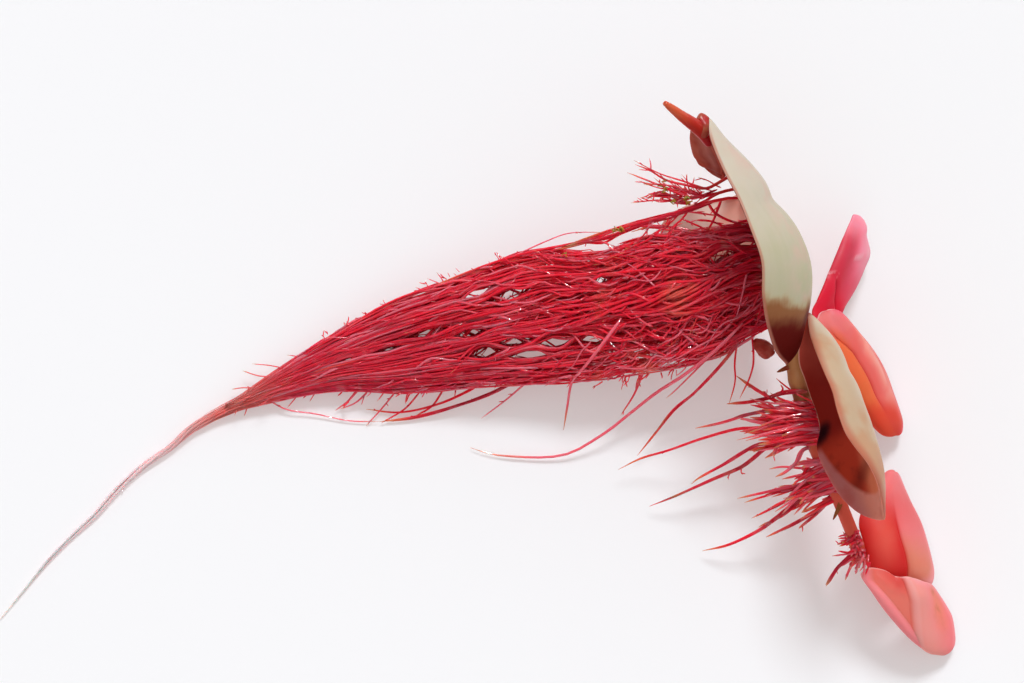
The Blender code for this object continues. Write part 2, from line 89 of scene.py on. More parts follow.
class Guide:
    # a smooth line through given points, read by its share of length from 0 to 1
    def __init__(self, points, steps=24):
        places = seen(points)
        run = np.vstack([2 * places[0] - places[1], places, 2 * places[-1] - places[-2]])
        t = (np.arange(steps) / steps)[:, None]
        parts = []
        for a, b, c, d in zip(run, run[1:], run[2:], run[3:]):
            bend = (2 * a - 5 * b + 4 * c - d) * t ** 2 + (3 * b - a - 3 * c + d) * t ** 3
            parts.append(0.5 * (2 * b + (c - a) * t + bend))
        self.line = np.vstack([*parts, places[-1:]])
        lengths = np.linalg.norm(np.diff(self.line, axis=0), axis=1)
        reach = np.concatenate([[0.0], np.cumsum(lengths)])
        self.share = reach / reach[-1]

    def at(self, share):
        return readAlong(share, self.share, self.line)


# Small tools for objects

def putDown():
    if bpy.context.object and bpy.context.object.mode != "OBJECT":
        bpy.ops.object.mode_set(mode="OBJECT")
    bpy.ops.object.select_all(action="DESELECT")


def pickUp(piece):
    putDown()
    piece.select_set(True)
    bpy.context.view_layer.objects.active = piece


def applied(piece, kind, **settings):
    pickUp(piece)
    modifier = piece.modifiers.new(kind.title(), kind)
    for key, value in settings.items():
        setattr(modifier, key, value)
    bpy.ops.object.modifier_apply(modifier=modifier.name)


def readPlaces(piece):
    flat = np.empty(len(piece.data.vertices) * 3)
    piece.data.vertices.foreach_get("co", flat)
    return flat.reshape(-1, 3)


def writePlaces(piece, places):
    piece.data.vertices.foreach_set("co", np.ascontiguousarray(places, float).ravel())
    piece.data.update()


def writeNumbers(piece, name, values):
    mesh = piece.data
    kept = mesh.attributes.get(name) or mesh.attributes.new(name, "FLOAT", "POINT")
    kept.data.foreach_set("value", np.ascontiguousarray(values, np.float32).ravel())


def joined(pieces):
    putDown()
    for piece in pieces:
        piece.select_set(True)
    bpy.context.view_layer.objects.active = pieces[0]
    if len(pieces) > 1:
        bpy.ops.object.join()
    return pieces[0]


def facesOut(piece):
    pickUp(piece)
    bpy.ops.object.mode_set(mode="EDIT")
    bpy.ops.mesh.select_all(action="SELECT")
    bpy.ops.mesh.normals_make_consistent(inside=False)
    bpy.ops.object.mode_set(mode="OBJECT")


def finished(piece, name, node, look):
    # the place goes into the mesh, and the piece takes its node's place in the frame
    pickUp(piece)
    bpy.ops.object.transform_apply(location=True, rotation=True, scale=True)
    bpy.ops.object.shade_smooth()
    piece.name = name
    piece.data.name = name
    piece.data.materials.clear()
    piece.data.materials.append(look)
    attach(piece, "root")
    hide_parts(node)
    piece.data.calc_loop_triangles()
    print(name, "done,", len(piece.data.loop_triangles), "triangles")


# Shader maths

def screen(red, green, blue):
    # a colour as a screen shows it, 0 to 255, made linear
    levels = [c / 255 for c in (red, green, blue)]
    return [*[v / 12.92 if v < 0.04045 else ((v + 0.055) / 1.055) ** 2.4 for v in levels], 1.0]


class Wire:
    # one socket of a material's nodes; sums on it add Math nodes
    def __init__(self, tree, socket=None):
        self.tree = tree
        self.socket = socket

    def node(self, kind, settings, sockets, out=0):
        made = self.tree.nodes.new("ShaderNode" + kind)
        for key, value in settings.items():
            setattr(made, key, value)
        for key, value in sockets.items():
            if isinstance(value, Wire):
                self.tree.links.new(value.socket, made.inputs[key])
            else:
                made.inputs[key].default_value = value
        return Wire(self.tree, made.outputs[out])

    def sum(self, operation, first, second):
        return self.node("Math", {"operation": operation}, {0: first, 1: second})

    def __add__(self, other):
        return self.sum("ADD", self, other)

    def __radd__(self, other):
        return self.sum("ADD", other, self)

    def __sub__(self, other):
        return self.sum("SUBTRACT", self, other)

    def __rsub__(self, other):
        return self.sum("SUBTRACT", other, self)

    def __mul__(self, other):
        return self.sum("MULTIPLY", self, other)

    def __rmul__(self, other):
        return self.sum("MULTIPLY", other, self)

    def __pow__(self, other):
        return self.sum("POWER", self, other)

    def __rpow__(self, other):
        return self.sum("POWER", other, self)

    def step(self, low, high):
        # 0 below low, 1 above high, smooth between; falls when low is above high
        ends = {"Value": self, "From Min": low, "From Max": high, "To Min": 0.0, "To Max": 1.0}
        if low > high:
            ends.update({"From Min": high, "From Max": low, "To Min": 1.0, "To Max": 0.0})
        return self.node("MapRange", {"interpolation_type": "SMOOTHSTEP"}, ends)

    def band(self, middle, width):
        # 1 at the middle, falling smoothly to 0 a width away
        away = self.sum("ABSOLUTE", self - middle, 0.0)
        return away.step(width, 0.0)

    def paint(self, colour, over):
        # colour laid over another, this socket being how much
        return self.node("Mix", {"data_type": "RGBA"}, {0: self, 6: over, 7: colour}, 2)


def newLook(name, soft=None, **uniform):
    look = bpy.data.materials.new(name)
    look.use_nodes = True
    shader = look.node_tree.nodes["Principled BSDF"]
    for key, value in uniform.items():
        shader.inputs[key.replace("_", " ")].default_value = value
    if soft:
        shader.inputs["Subsurface Weight"].default_value = soft["weight"]
        shader.inputs["Subsurface Radius"].default_value = soft["colour"]
        shader.inputs["Subsurface Scale"].default_value = soft["reach"]
    return look, Wire(look.node_tree)


def given(wire, name):
    return wire.node("Attribute", {"attribute_name": name}, {}, "Fac")


def spots(wire, scale, detail=2.0, rough=0.5, place=None, stretch=None):
    # soft random clouds over the piece, 0 to 1, feature size one over scale in metres
    if place is None:
        place = wire.node("TexCoord", {}, {}, "Object")
    if stretch is not None:
        place = wire.node("Mapping", {}, {"Vector": place, "Scale": stretch})
    sockets = {"Vector": place, "Scale": scale, "Detail": detail, "Roughness": rough}
    return wire.node("TexNoise", {}, sockets, "Fac")


def connect(look, colour, roughness=None, height=None, bump=0.00003, strength=0.5, coat=None):
    tree = look.node_tree
    shader = tree.nodes["Principled BSDF"]
    for name, wire in (("Base Color", colour), ("Roughness", roughness), ("Coat Weight", coat)):
        if wire is not None:
            tree.links.new(wire.socket, shader.inputs[name])
    if height is not None:
        raised = height.node(
            "Bump", {}, {"Height": height, "Distance": bump, "Strength": strength}, "Normal"
        )
        tree.links.new(raised.socket, shader.inputs["Normal"])
    return look


# Camera, light and floor

floorColours = {"light": screen(214, 217, 220), "shade": screen(212, 215, 218)}


def addSun(name, strength, width, colour):
    putDown()
    bpy.ops.object.light_add(type="SUN", location=pictureView["sunPlace"])
    sun = bpy.context.object
    sun.name = name
    sun.data.energy = strength
    sun.data.color = colour
    sun.data.angle = math.radians(width)
    side, up, high = pictureView["sunFrom"]
    sun.rotation_euler = (-math.atan2(up, high), math.atan2(side, math.hypot(up, high)), 0)
    return sun


def setStage():
    view = pictureView
    putDown()
    bpy.ops.object.camera_add(location=tuple((eye + boxShift) * mm), rotation=(0, 0, 0))
    camera = bpy.context.object
    camera.data.sensor_width = view["sensor"]
    camera.data.lens = view["lens"]
    camera.data.clip_start, camera.data.clip_end = view["clip"]
    bpy.context.scene.camera = camera

    putDown()
    bpy.ops.mesh.primitive_plane_add(size=view["floorSize"], location=(0, 0, 0))
    floor = bpy.context.object
    floor.name = "pale_floor"
    look, wire = newLook(
        "pale_floor", Roughness=0.8, Specular_IOR_Level=0.0,
        Emission_Color=view["glowColour"], Emission_Strength=view["floorGlow"],
    )
    pale = spots(wire, 6.0).step(0.2, 0.8)
    colour = pale.paint(floorColours["light"], floorColours["shade"])
    floor.data.materials.append(connect(look, colour))

    addSun("soft_key", view["sunStrength"], view["sunWidth"], view["sunColour"])
    # a second sun from the same side, which is seen only as glints on wet surfaces
    lamp = addSun("glint_lamp", view["lampStrength"], view["lampWidth"], view["lampColour"])
    lamp.visible_diffuse = False
    lamp.visible_transmission = False

    world = bpy.data.worlds.new("studio")
    bpy.context.scene.world = world
    world.use_nodes = True
    sky = world.node_tree.nodes["Background"]
    sky.inputs["Color"].default_value = (*view["skyColour"], 1.0)
    sky.inputs["Strength"].default_value = view["skyStrength"]
    bpy.context.scene.view_settings.view_transform = "Standard"
    print("stage set")


# Leaves

leafThickness = 0.42
leafMarginShare = 0.30
# how far from the midrib the pouches reach their full height, and the valley's share of that
midribReach = 0.42
valleyShare = 0.3


def hump(x, middle, width):
    return np.exp(-((x - middle) / width) ** 2)


largePaleLeaf = {
    "ends": ((15.2, 16.9, 11.8), (20.2, 0.9, 9.9)),
    "rim": [
        (15.3, 15.6, 14.0), (16.1, 13.6, 15.5), (17.1, 11.7, 16.5),
        (17.9, 9.7, 17.0), (18.6, 7.6, 17.0), (18.65, 5.5, 16.4), (18.9, 3.7, 15.0),
        (19.5, 1.8, 12.5),
    ],
    "ridge": [
        (16.2, 15.3, 12.2), (17.8, 13.6, 12.5), (18.75, 12.5, 12.3), (19.3, 11.5, 12.1),
        (20.1, 10.4, 12.3), (20.8, 9.1, 12.4), (21.4, 7.1, 12.2), (21.4, 5.1, 11.6),
        (21.1, 3.5, 10.8), (20.8, 1.9, 10.2),
    ],
    "foot": [
        (15.9, 15.4, 9.8), (17.0, 13.2, 8.2), (18.0, 11.3, 7.4),
        (19.1, 9.3, 7.7), (19.7, 7.4, 8.1), (20.2, 5.1, 8.5), (20.5, 3.2, 8.7),
        (20.4, 1.6, 9.1),
    ],
    "side": 1, "midrib": -0.27, "pouch": 0.25, "valley": 0.10, "cells": (64, 44),
}

cuppedDarkLeaf = {
    "ends": ((21.6, 4.3, 7.9), (26.6, -9.2, 11.2)),
    "rim": [
        (21.7, 3.1, 10.2), (22.0, 2.1, 12.0), (22.6, 0.6, 13.8), (23.2, -0.8, 14.9),
        (23.5, -2.0, 15.6), (24.0, -3.4, 16.0), (24.65, -4.4, 16.0), (25.45, -5.4, 15.8),
        (26.05, -6.5, 15.0), (26.4, -7.7, 13.6),
    ],
    "ridge": [
        (22.5, 3.1, 9.0), (23.6, 1.5, 10.2), (24.5, -0.3, 10.7), (24.95, -2.0, 10.9),
        (25.4, -3.5, 10.9), (25.75, -5.0, 10.9), (26.05, -6.4, 10.9), (26.3, -7.9, 11.0),
    ],
    "foot": [
        (21.1, 2.6, 7.6), (21.05, 1.0, 7.2), (21.4, 0.0, 7.0), (21.8, -1.2, 7.0),
        (22.2, -2.3, 7.0), (22.4, -3.4, 7.1), (22.2, -4.5, 7.3), (22.5, -5.5, 7.7),
        (22.95, -6.4, 8.2), (23.65, -7.55, 8.8), (24.4, -8.35, 9.3), (25.2, -8.9, 9.9),
        (26.1, -9.2, 10.5),
    ],
    "side": 1, "midrib": -0.28, "pouch": 0.2, "valley": 0.12, "cells": (60, 44),
}

# the lower leaves are folded along the midrib, so each half is a lobe of its own

lobeShape = {"side": -1, "midrib": 0.0, "pouch": 0.0, "valley": 0.0}

foldedPinkLobes = [
    {
        "ends": ((24.55, 10.65, 3.8), (22.6, 2.8, 5.0)),
        "rim": [
            (24.95, 10.4, 3.2), (25.3, 9.85, 2.6), (25.25, 9.45, 2.4), (25.45, 8.8, 1.8),
            (25.6, 8.1, 1.4), (25.3, 7.3, 1.3), (24.8, 6.15, 1.6), (24.35, 5.35, 2.0),
            (23.95, 4.75, 2.6), (23.6, 4.05, 3.2), (23.2, 3.35, 3.8),
        ],
        "ridge": [
            (24.85, 9.9, 3.9), (24.65, 8.8, 4.3), (24.45, 7.8, 4.5), (23.95, 6.4, 4.5),
            (23.35, 5.1, 4.6), (22.95, 3.95, 4.8),
        ],
        "foot": [
            (24.3, 10.15, 4.4), (23.9, 9.2, 5.0), (23.5, 8.2, 5.5), (23.0, 7.0, 5.8),
            (22.55, 5.9, 6.0), (22.15, 5.0, 6.1), (21.85, 4.4, 6.1), (22.0, 3.65, 6.0),
        ],
        "folds": lambda a, b: (
            0.14 * hump(b, -0.6, 0.35) + 0.14 * hump(b, 0.45, 0.4)
            - 0.22 * hump(b - 1.57 * a, -0.72, 0.09) * fade(a, 0.0, 0.15)
            - 0.06 * hump(a, -0.22, 0.06) * hump(b, 0.2, 0.5)
            - 0.06 * hump(a, 0.0, 0.05) * hump(b, -0.8, 0.3)
        ),
        **lobeShape, "cells": (60, 40),
    },
    {
        "ends": ((22.85, 4.4, 5.6), (27.4, -3.65, 1.2)),
        "rim": [
            (23.3, 4.35, 5.4), (23.7, 4.15, 5.0), (24.05, 3.75, 4.3), (24.8, 3.05, 2.9),
            (25.8, 1.85, 1.6), (26.6, 0.5, 0.8), (27.15, -1.0, 0.45), (27.5, -2.1, 0.4),
            (27.6, -2.75, 0.5),
        ],
        "ridge": [
            (23.1, 4.05, 5.7), (23.6, 3.5, 5.6), (24.2, 2.65, 5.3), (24.85, 1.6, 4.9),
            (25.6, 0.3, 4.3), (26.15, -1.05, 3.6), (26.75, -2.3, 2.8), (27.15, -3.1, 2.0),
        ],
        "foot": [
            (22.4, 4.25, 5.8), (22.2, 3.95, 6.0), (22.1, 3.3, 6.1), (22.45, 2.2, 6.2),
            (23.05, 0.95, 6.0), (23.9, -0.35, 5.4), (24.8, -1.7, 4.4), (25.6, -2.7, 3.4),
            (26.35, -3.4, 2.4), (26.9, -3.6, 1.8),
        ],
        "folds": lambda a, b: (
            0.24 * hump(b, -0.6, 0.32) + 0.26 * hump(b, 0.25, 0.32)
            - 0.30 * hump(b + 0.26 * fade(a, -0.35, -0.68), -0.17, 0.10)
            * fade(a, -0.85, -0.5) * (1 - fade(a, 0.15, 0.55))
            - 0.08 * hump(a + 0.3 * b, -0.28, 0.08) * hump(b, 0.15, 0.2)
        ),
        **lobeShape, "cells": (64, 44),
    },
]

endPinkLobes = [
    {
        "ends": ((27.2, -6.05, 3.2), (27.7, -13.6, 3.2)),
        "rim": [
            (27.5, -6.25, 2.4), (27.85, -7.1, 1.8), (28.6, -8.85, 1.0), (29.15, -10.5, 0.6),
            (29.5, -11.8, 0.5), (29.65, -12.8, 0.6), (29.3, -13.5, 1.4),
        ],
        "ridge": [
            (27.15, -6.6, 4.2), (27.2, -7.9, 4.7), (27.45, -9.85, 4.9), (27.75, -11.45, 4.6),
            (27.8, -12.6, 4.0),
        ],
        "foot": [
            (26.75, -6.3, 4.0), (25.85, -7.2, 4.8), (25.1, -8.7, 5.4), (24.95, -9.6, 5.6),
            (25.2, -10.5, 5.6), (25.45, -11.5, 5.3), (25.85, -12.5, 4.7), (26.6, -13.2, 3.9),
        ],
        "folds": lambda a, b: (
            0.16 * fade(b - 0.28 * a, -0.06, 0.06) * fade(a, -0.5, -0.1)
            - 0.10 * hump(b - 0.28 * a, -0.08, 0.05) * fade(a, -0.3, 0.2)
            + 0.18 * hump(b, -0.45, 0.35)
        ),
        **lobeShape, "cells": (60, 40),
    },
    {
        "ends": ((27.45, -12.8, 5.2), (30.45, -17.9, 1.0)),
        "rim": [
            (28.2, -13.0, 4.6), (28.95, -13.2, 3.6), (29.6, -13.4, 1.8), (30.1, -14.05, 0.9),
            (30.6, -14.85, 0.5), (30.9, -15.5, 0.35), (31.0, -16.45, 0.35), (30.95, -17.3, 0.5),
        ],
        "ridge": [
            (27.6, -13.35, 5.2), (27.9, -14.15, 5.0), (28.45, -15.2, 4.3), (29.1, -16.5, 3.2),
            (29.85, -17.5, 2.0),
        ],
        "foot": [
            (26.6, -12.4, 5.5), (25.6, -12.35, 5.7), (25.05, -12.7, 5.6), (25.15, -13.0, 5.5),
            (25.65, -13.65, 5.2), (26.25, -14.5, 4.7), (27.0, -15.4, 4.0), (27.9, -16.35, 3.2),
            (28.65, -17.0, 2.6), (29.6, -17.7, 1.7),
        ],
        "folds": lambda a, b: (
            0.24 * hump(b, 0.45, 0.45) + 0.05 * hump(b + 0.57 * a, 0.0, 0.12)
            - 0.36 * fade(b - 0.36 * a, -0.62, -0.40) * (1 - fade(b + 0.57 * a, -0.18, -0.06))
            * (1 - fade(a, 0.3, 0.6))
        ),
        **lobeShape, "cells": (60, 48),
    },
]

leafBelowRoots = {
    "ends": ((17.2, 11.9, 2.9), (18.5, 3.8, 2.5)),
    "rim": [
        (15.4, 11.6, 1.8), (13.4, 11.1, 1.3), (12.1, 10.0, 0.9), (12.4, 8.3, 0.6),
        (14.2, 6.4, 0.5), (16.6, 4.7, 1.0),
    ],
    "ridge": [
        (17.1, 10.9, 2.5), (16.9, 9.5, 2.5), (17.2, 7.8, 2.4), (17.7, 6.3, 2.3),
        (18.2, 4.9, 2.4),
    ],
    "foot": [
        (18.1, 11.1, 4.6), (18.8, 9.5, 5.7), (19.3, 7.6, 5.9), (19.5, 5.8, 5.5),
        (19.1, 4.5, 4.2),
    ],
    "folds": lambda a, b: 0.35 * hump(b, 0.05, 0.25) - 0.25 * hump(b, 0.42, 0.12),
    "side": -1, "midrib": 0.05, "pouch": 0.15, "valley": 0.1, "cells": (40, 32),
}

smallDarkLeaf = {
    "ends": ((14.05, 16.5, 7.6), (16.2, 12.9, 7.1)),
    "rim": [(13.95, 15.6, 6.3), (14.15, 14.7, 5.6), (14.7, 13.9, 5.6), (15.45, 13.3, 6.0)],
    "ridge": [(14.5, 15.6, 6.9), (14.9, 14.7, 6.5), (15.3, 13.9, 6.5), (15.7, 13.4, 6.7)],
    "foot": [(14.9, 16.0, 8.3), (15.5, 15.0, 8.5), (15.9, 14.2, 8.3), (16.2, 13.4, 7.9)],
    "folds": lambda a, b: (
        -0.12 * hump(a + 0.3 * b, 0.42, 0.06) + 0.05 * hump(a + 0.3 * b, 0.52, 0.05)
    ),
    "side": -1, "midrib": 0.0, "pouch": 0.1, "valley": 0.1, "cells": (36, 30),
}


def plainBlade(guides, a, b):
    # a runs along the leaf and b across it, on the unit disc
    share = (a + 1) / 2
    width = np.sqrt(np.maximum(1 - a * a, 1e-6))
    v = np.clip(b / width, -1, 1)[:, None]
    rim, ridge, foot = (guides[key].at(share) for key in ("rim", "ridge", "foot"))
    return ridge + (rim - foot) * (v / 2) + ((rim + foot) / 2 - ridge) * v * v


def bladeRelief(leaf, a, b):
    # pouches beside the midrib, the valley of the midrib, and the piece's own folds, in mm
    off = (a - leaf["midrib"]) / midribReach
    dome = np.maximum(0, 1 - a * a - b * b)
    rise = leaf["pouch"] * dome * np.minimum(1, np.abs(off)) ** 0.8
    dip = leaf["valley"] * np.exp(-(off / valleyShare) ** 2) * dome ** 0.5
    own = leaf["folds"](a, b) if "folds" in leaf else 0
    return rise - dip + own


def leafBlade(leaf):
    first, last = leaf["ends"]
    guides = {key: Guide([first, *leaf[key], last]) for key in ("rim", "ridge", "foot")}
    along, across = leaf["cells"]
    putDown()
    bpy.ops.mesh.primitive_grid_add(x_subdivisions=along, y_subdivisions=across, size=2)
    blade = bpy.context.object
    square = readPlaces(blade)
    s, t = square[:, 0], square[:, 1]
    a = s * np.sqrt(1 - t * t / 2)
    b = t * np.sqrt(1 - s * s / 2)
    step, inner = 0.02, 0.95
    alongWay = plainBlade(guides, a * inner + step, b * inner)
    alongWay -= plainBlade(guides, a * inner - step, b * inner)
    acrossWay = plainBlade(guides, a * inner, b * inner + step)
    acrossWay -= plainBlade(guides, a * inner, b * inner - step)
    out = unit(np.cross(acrossWay, alongWay)) * leaf["side"]
    middle = plainBlade(guides, a, b) + out * (bladeRelief(leaf, a, b)[:, None] * mm)
    writePlaces(blade, middle)
    writeNumbers(blade, "along", a)
    writeNumbers(blade, "across", b)
    thick = blade.vertex_groups.new(name="thickness")
    fullness = np.minimum(1, 1.4 * np.sqrt(np.maximum(0, 1 - a * a - b * b)))
    for index, weight in enumerate(fullness):
        thick.add([index], float(weight), "REPLACE")
    applied(
        blade, "SOLIDIFY", thickness=leafThickness * mm, offset=0.0,
        vertex_group=thick.name, thickness_vertex_group=leafMarginShare,
    )
    count = len(a)
    places = readPlaces(blade)
    outward = ((places[:count] - middle) * out).sum() > 0
    under = np.zeros(len(places))
    under[count:] = 1.0 if outward else 0.0
    under[:count] = 0.0 if outward else 1.0
    writeNumbers(blade, "under", under)
    applied(blade, "SUBSURF", levels=1, render_levels=1)
    facesOut(blade)
    return blade


def leafWires(wire):
    # along, across and under, then the edge: 0 in the leaf's middle, 1 at its margin
    a, b, under = (given(wire, name) for name in ("along", "across", "under"))
    return a, b, under, (a * a + b * b) ** 0.5


leafSoftness = {"weight": 0.30, "colour": (1.0, 0.30, 0.22), "reach": 0.0006}
leafSheen = 0.025

paleColours = {
    "cream": screen(198, 187, 169),
    "green": screen(180, 176, 144),
    "blush": screen(204, 174, 158),
    "tan": screen(176, 136, 92),
    "olive": screen(144, 90, 54),
    "dark": screen(98, 22, 18),
    "rim": screen(176, 112, 96),
    "under": screen(110, 28, 24),
}


def paleLeafLook():
    c = paleColours
    look, wire = newLook(
        "pale_leaf", {**leafSoftness, "colour": (1.0, 0.7, 0.5)}, Specular_IOR_Level=leafSheen * 2,
    )
    a, b, under, edge = leafWires(wire)
    cloud = spots(wire, 260.0, 3.0)
    small = spots(wire, 700.0, 2.0)
    grain = spots(wire, 2600.0, 3.0)
    streaks = wire.node("CombineXYZ", {}, {"X": a * 1.2, "Y": b * 8.0, "Z": 0.3})
    streak = spots(wire, 1.0, 4.0, 0.6, place=streaks)
    pale = (a + (cloud - 0.5) * 0.9 + (streak - 0.5) * 0.5).step(-0.5, 0.45)
    colour = (pale * 0.9).paint(c["green"], c["cream"])
    colour = (b.band(0.30, 0.50) * small.step(0.35, 0.7) * 0.75).paint(c["blush"], colour)
    colour = (b.band(-0.15, 0.10) * a.step(-0.6, -0.2) * 0.5).paint(c["green"], colour)
    turn = a + b * 0.24 + (streak - 0.5) * 0.08 + (small - 0.5) * 0.12 + (cloud - 0.5) * 0.2
    colour = (turn.step(0.46, 0.54) * 0.6).paint(c["tan"], colour)
    colour = (turn.step(0.49, 0.57) * 0.95).paint(c["olive"], colour)
    colour = (turn + b.step(0.30, 0.0) * 0.14).step(0.58, 0.74).paint(c["dark"], colour)
    colour = (edge.step(0.965, 0.99) * b.step(-0.1, 0.2) * a.step(-0.95, -0.7) * 0.8
              ).paint(c["rim"], colour)
    colour = under.step(0.45, 0.55).paint(c["under"], colour)
    return connect(look, colour, 0.40 + grain * 0.18, grain, 0.00002, 0.4)


cuppedColours = {
    "tan": screen(192, 166, 138),
    "fawn": screen(192, 150, 118),
    "pale": screen(204, 192, 174),
    "rose": screen(194, 120, 100),
    "red": screen(176, 82, 66),
    "maroon": screen(126, 28, 20),
    "brick": screen(172, 72, 58),
    "rust": screen(172, 54, 34),
    "orange": screen(206, 110, 78),
    "umber": screen(100, 30, 22),
    "backlit_veil": screen(208, 132, 114),
    "mauve": screen(176, 106, 104),
    "painted_base_shadow": screen(34, 6, 12),
    "line": screen(206, 150, 132),
}


def cuppedLeafLook():
    c = cuppedColours
    look, wire = newLook(
        "cupped_leaf", {**leafSoftness, "colour": (1.0, 0.45, 0.35)}, Specular_IOR_Level=leafSheen,
    )
    a, b, under, edge = leafWires(wire)
    cloud = spots(wire, 330.0, 3.0)
    small = spots(wire, 900.0, 3.0)
    grain = spots(wire, 2600.0, 3.0)
    drift = (cloud - 0.5) * 0.3
    outer = (cloud + (b - 0.7) * 0.3).step(0.38, 0.62).paint(c["fawn"], c["tan"])
    outer = ((b + drift).step(0.62, 0.25) * a.step(0.75, 0.4) * 0.7).paint(c["pale"], outer)
    outer = ((a + drift).step(0.35, 0.85) * 0.6).paint(c["rose"], outer)
    outer = ((edge + drift * 0.1).step(0.88, 0.99) * b.step(0.0, 0.4) * 0.6).paint(c["red"], outer)
    outer = a.step(-0.90, -0.98).paint(c["maroon"], outer)
    inner = (a + drift * 0.6).step(-0.02, 0.22).paint(c["rust"], c["maroon"])
    inner = ((a + drift).step(-0.35, -0.70) * 0.8).paint(c["brick"], inner)
    inner = ((b + drift).step(-0.35, 0.1) * a.step(0.1, -0.2) * 0.35).paint(c["rust"], inner)
    inner = (small.step(0.48, 0.70) * a.step(-0.1, 0.2) * 0.5).paint(c["umber"], inner)
    inner = ((b + drift * 0.4).step(-0.46, -0.16) * a.step(0.15, 0.38)).paint(c["orange"], inner)
    inner = ((a + b * 0.3 + drift * 0.3 - 0.42).band(0.0, 0.14) * 0.6).paint(c["umber"], inner)
    # painted shadow: a near-black spot where the leaf's base meets the stem
    spot = (a ** 2.0 * 90.0 + (b + 0.93) ** 2.0 * 34.0).step(1.3, 0.0)
    inner = spot.paint(c["painted_base_shadow"], inner)
    # the thin lower margin, partly its own paler tissue and partly painted light: paler mauve as if
    # lit through from behind
    low = (edge + a * 0.27 + drift * 0.06).step(0.94, 1.0) * a.step(0.08, 0.17)
    backlit_veil = (b + 0.75 + drift).step(0.0, 0.4).paint(c["backlit_veil"], c["mauve"])
    backlit_veil = (small.step(0.45, 0.7) * 0.3).paint(c["rust"], backlit_veil)
    inner = (low * 0.95).paint(backlit_veil, inner)
    # a painted highlight: a pale thin line along the basal margin
    line = edge.step(0.975, 0.99) * a.step(-0.02, -0.12) * b.step(-0.3, -0.6)
    inner = (line * 0.8).paint(c["line"], inner)
    colour = under.step(0.4, 0.6).paint(inner, outer)
    return connect(look, colour, 0.34 + grain * 0.18, grain, 0.00002, 0.35)


pinkColours = {
    "blush": screen(248, 154, 172),
    "pink": screen(234, 98, 122),
    "crimson": screen(206, 60, 80),
    "deep": screen(222, 34, 60),
    "shaded_crease": screen(168, 20, 36),
    "salmon": screen(228, 104, 98),
    "peach": screen(238, 156, 142),
    "groove": screen(204, 52, 48),
    "orange": screen(226, 104, 62),
    "ember": screen(218, 66, 46),
    "rose": screen(228, 116, 118),
    "rim": screen(246, 186, 192),
    "fleck": screen(240, 180, 190),
}


def foldedLeafLook():
    c = pinkColours
    look, wire = newLook("folded_leaf", leafSoftness, Specular_IOR_Level=leafSheen * 2)
    a, b, under, edge = leafWires(wire)
    half = given(wire, "half")
    cloud = spots(wire, 300.0, 3.0)
    small = spots(wire, 1000.0, 3.0)
    grain = spots(wire, 2400.0, 3.0)
    drift = (cloud - 0.5) * 0.3 + (small - 0.5) * 0.1
    # the half that stands up, crimson at its straight side and paler outwards
    side = b + drift
    back = side.step(-0.45, 0.35).paint(c["pink"], c["crimson"])
    back = (side.step(-0.1, 0.6) * a.step(0.15, -0.35)).paint(c["blush"], back)
    band = (a + b * 0.1 + drift * 0.2 + 0.29).band(0.0, 0.07) * side.step(-0.15, 0.05)
    back = (band * small.step(0.35, 0.6) * 0.6).paint(c["fleck"], back)
    inside = 1.0 - edge.step(0.75, 0.98) * b.step(0.0, 0.3) * 0.7
    back = ((a + drift - b * 0.2).step(-0.25, 0.55) * inside).paint(c["deep"], back)
    back = ((a + drift).step(-0.45, -0.85) * 0.7).paint(c["blush"], back)
    # painted shade: a dark line along the modelled crease of the standing half
    shaded_crease = (b - a * 1.57 + 0.72 + drift * 0.1).band(0.0, 0.13) * a.step(0.0, 0.2)
    back = (shaded_crease * 0.9).paint(c["shaded_crease"], back)
    fleck = small.step(0.50, 0.62) * (a + drift * 0.2).band(0.0, 0.09) * b.step(-0.55, -0.7)
    back = (fleck * 0.9).paint(c["fleck"], back)
    # the half that lies out, with a groove between pouch and margin
    front = side.step(-0.30, -0.05).paint(c["salmon"], c["orange"])
    front = ((cloud + side * 0.2).step(0.55, 0.75) * side.step(-0.1, 0.2) * 0.6
             ).paint(c["peach"], front)
    # a painted highlight: the middle of the rounded outer band made paler
    front = (side.band(0.34, 0.36) * (a + drift * 2.0).band(-0.05, 0.65)).paint(c["peach"], front)
    front = ((a + drift).step(-0.50, -0.80) * 0.9).paint(c["rose"], front)
    front = ((a + drift * 0.7 - b * 0.25).step(0.28, 0.60) * 0.85).paint(c["ember"], front)
    front = (a.step(0.4, 0.7) * b.step(0.1, 0.5) * 0.7).paint(c["rose"], front)
    # painted shade: a dark line along the modelled groove between pouch and margin
    groove = b + a.step(-0.35, -0.68) * 0.26 + drift * 0.15 + 0.17
    front = (groove.band(0.0, 0.15) * a.step(-0.85, -0.5) * a.step(0.6, 0.25) * 0.9
             ).paint(c["groove"], front)
    rim = (edge + drift * 0.2).step(0.80, 0.99) * b.step(-0.1, 0.4)
    front = (rim * 0.85).paint(c["pink"], front)
    colour = half.step(0.4, 0.6).paint(front, back)
    # a painted highlight: a pale line along the top edge of the half that lies out
    colour = (edge.step(0.985, 0.997) * half * a.step(-0.70, -0.80) * 0.8).paint(c["rim"], colour)
    colour = (under.step(0.45, 0.55) * 0.6).paint(c["crimson"], colour)
    return connect(look, colour, 0.42 + grain * 0.15, grain, 0.00002, 0.3)


endColours = {
    "red": screen(212, 44, 42),
    "pouch_highlight": screen(224, 86, 74),
    "salmon": screen(232, 118, 120),
    "pink": screen(242, 154, 162),
    "tan": screen(222, 128, 106),
    "pocket": screen(234, 124, 110),
    "deep": screen(214, 76, 70),
    "band": screen(238, 134, 138),
    "lobe": screen(236, 148, 140),
    "rose": screen(238, 122, 126),
    "rim": screen(246, 186, 182),
    "orange": screen(226, 126, 86),
    "ochre": screen(176, 106, 46),
    "crimson": screen(200, 42, 54),
}


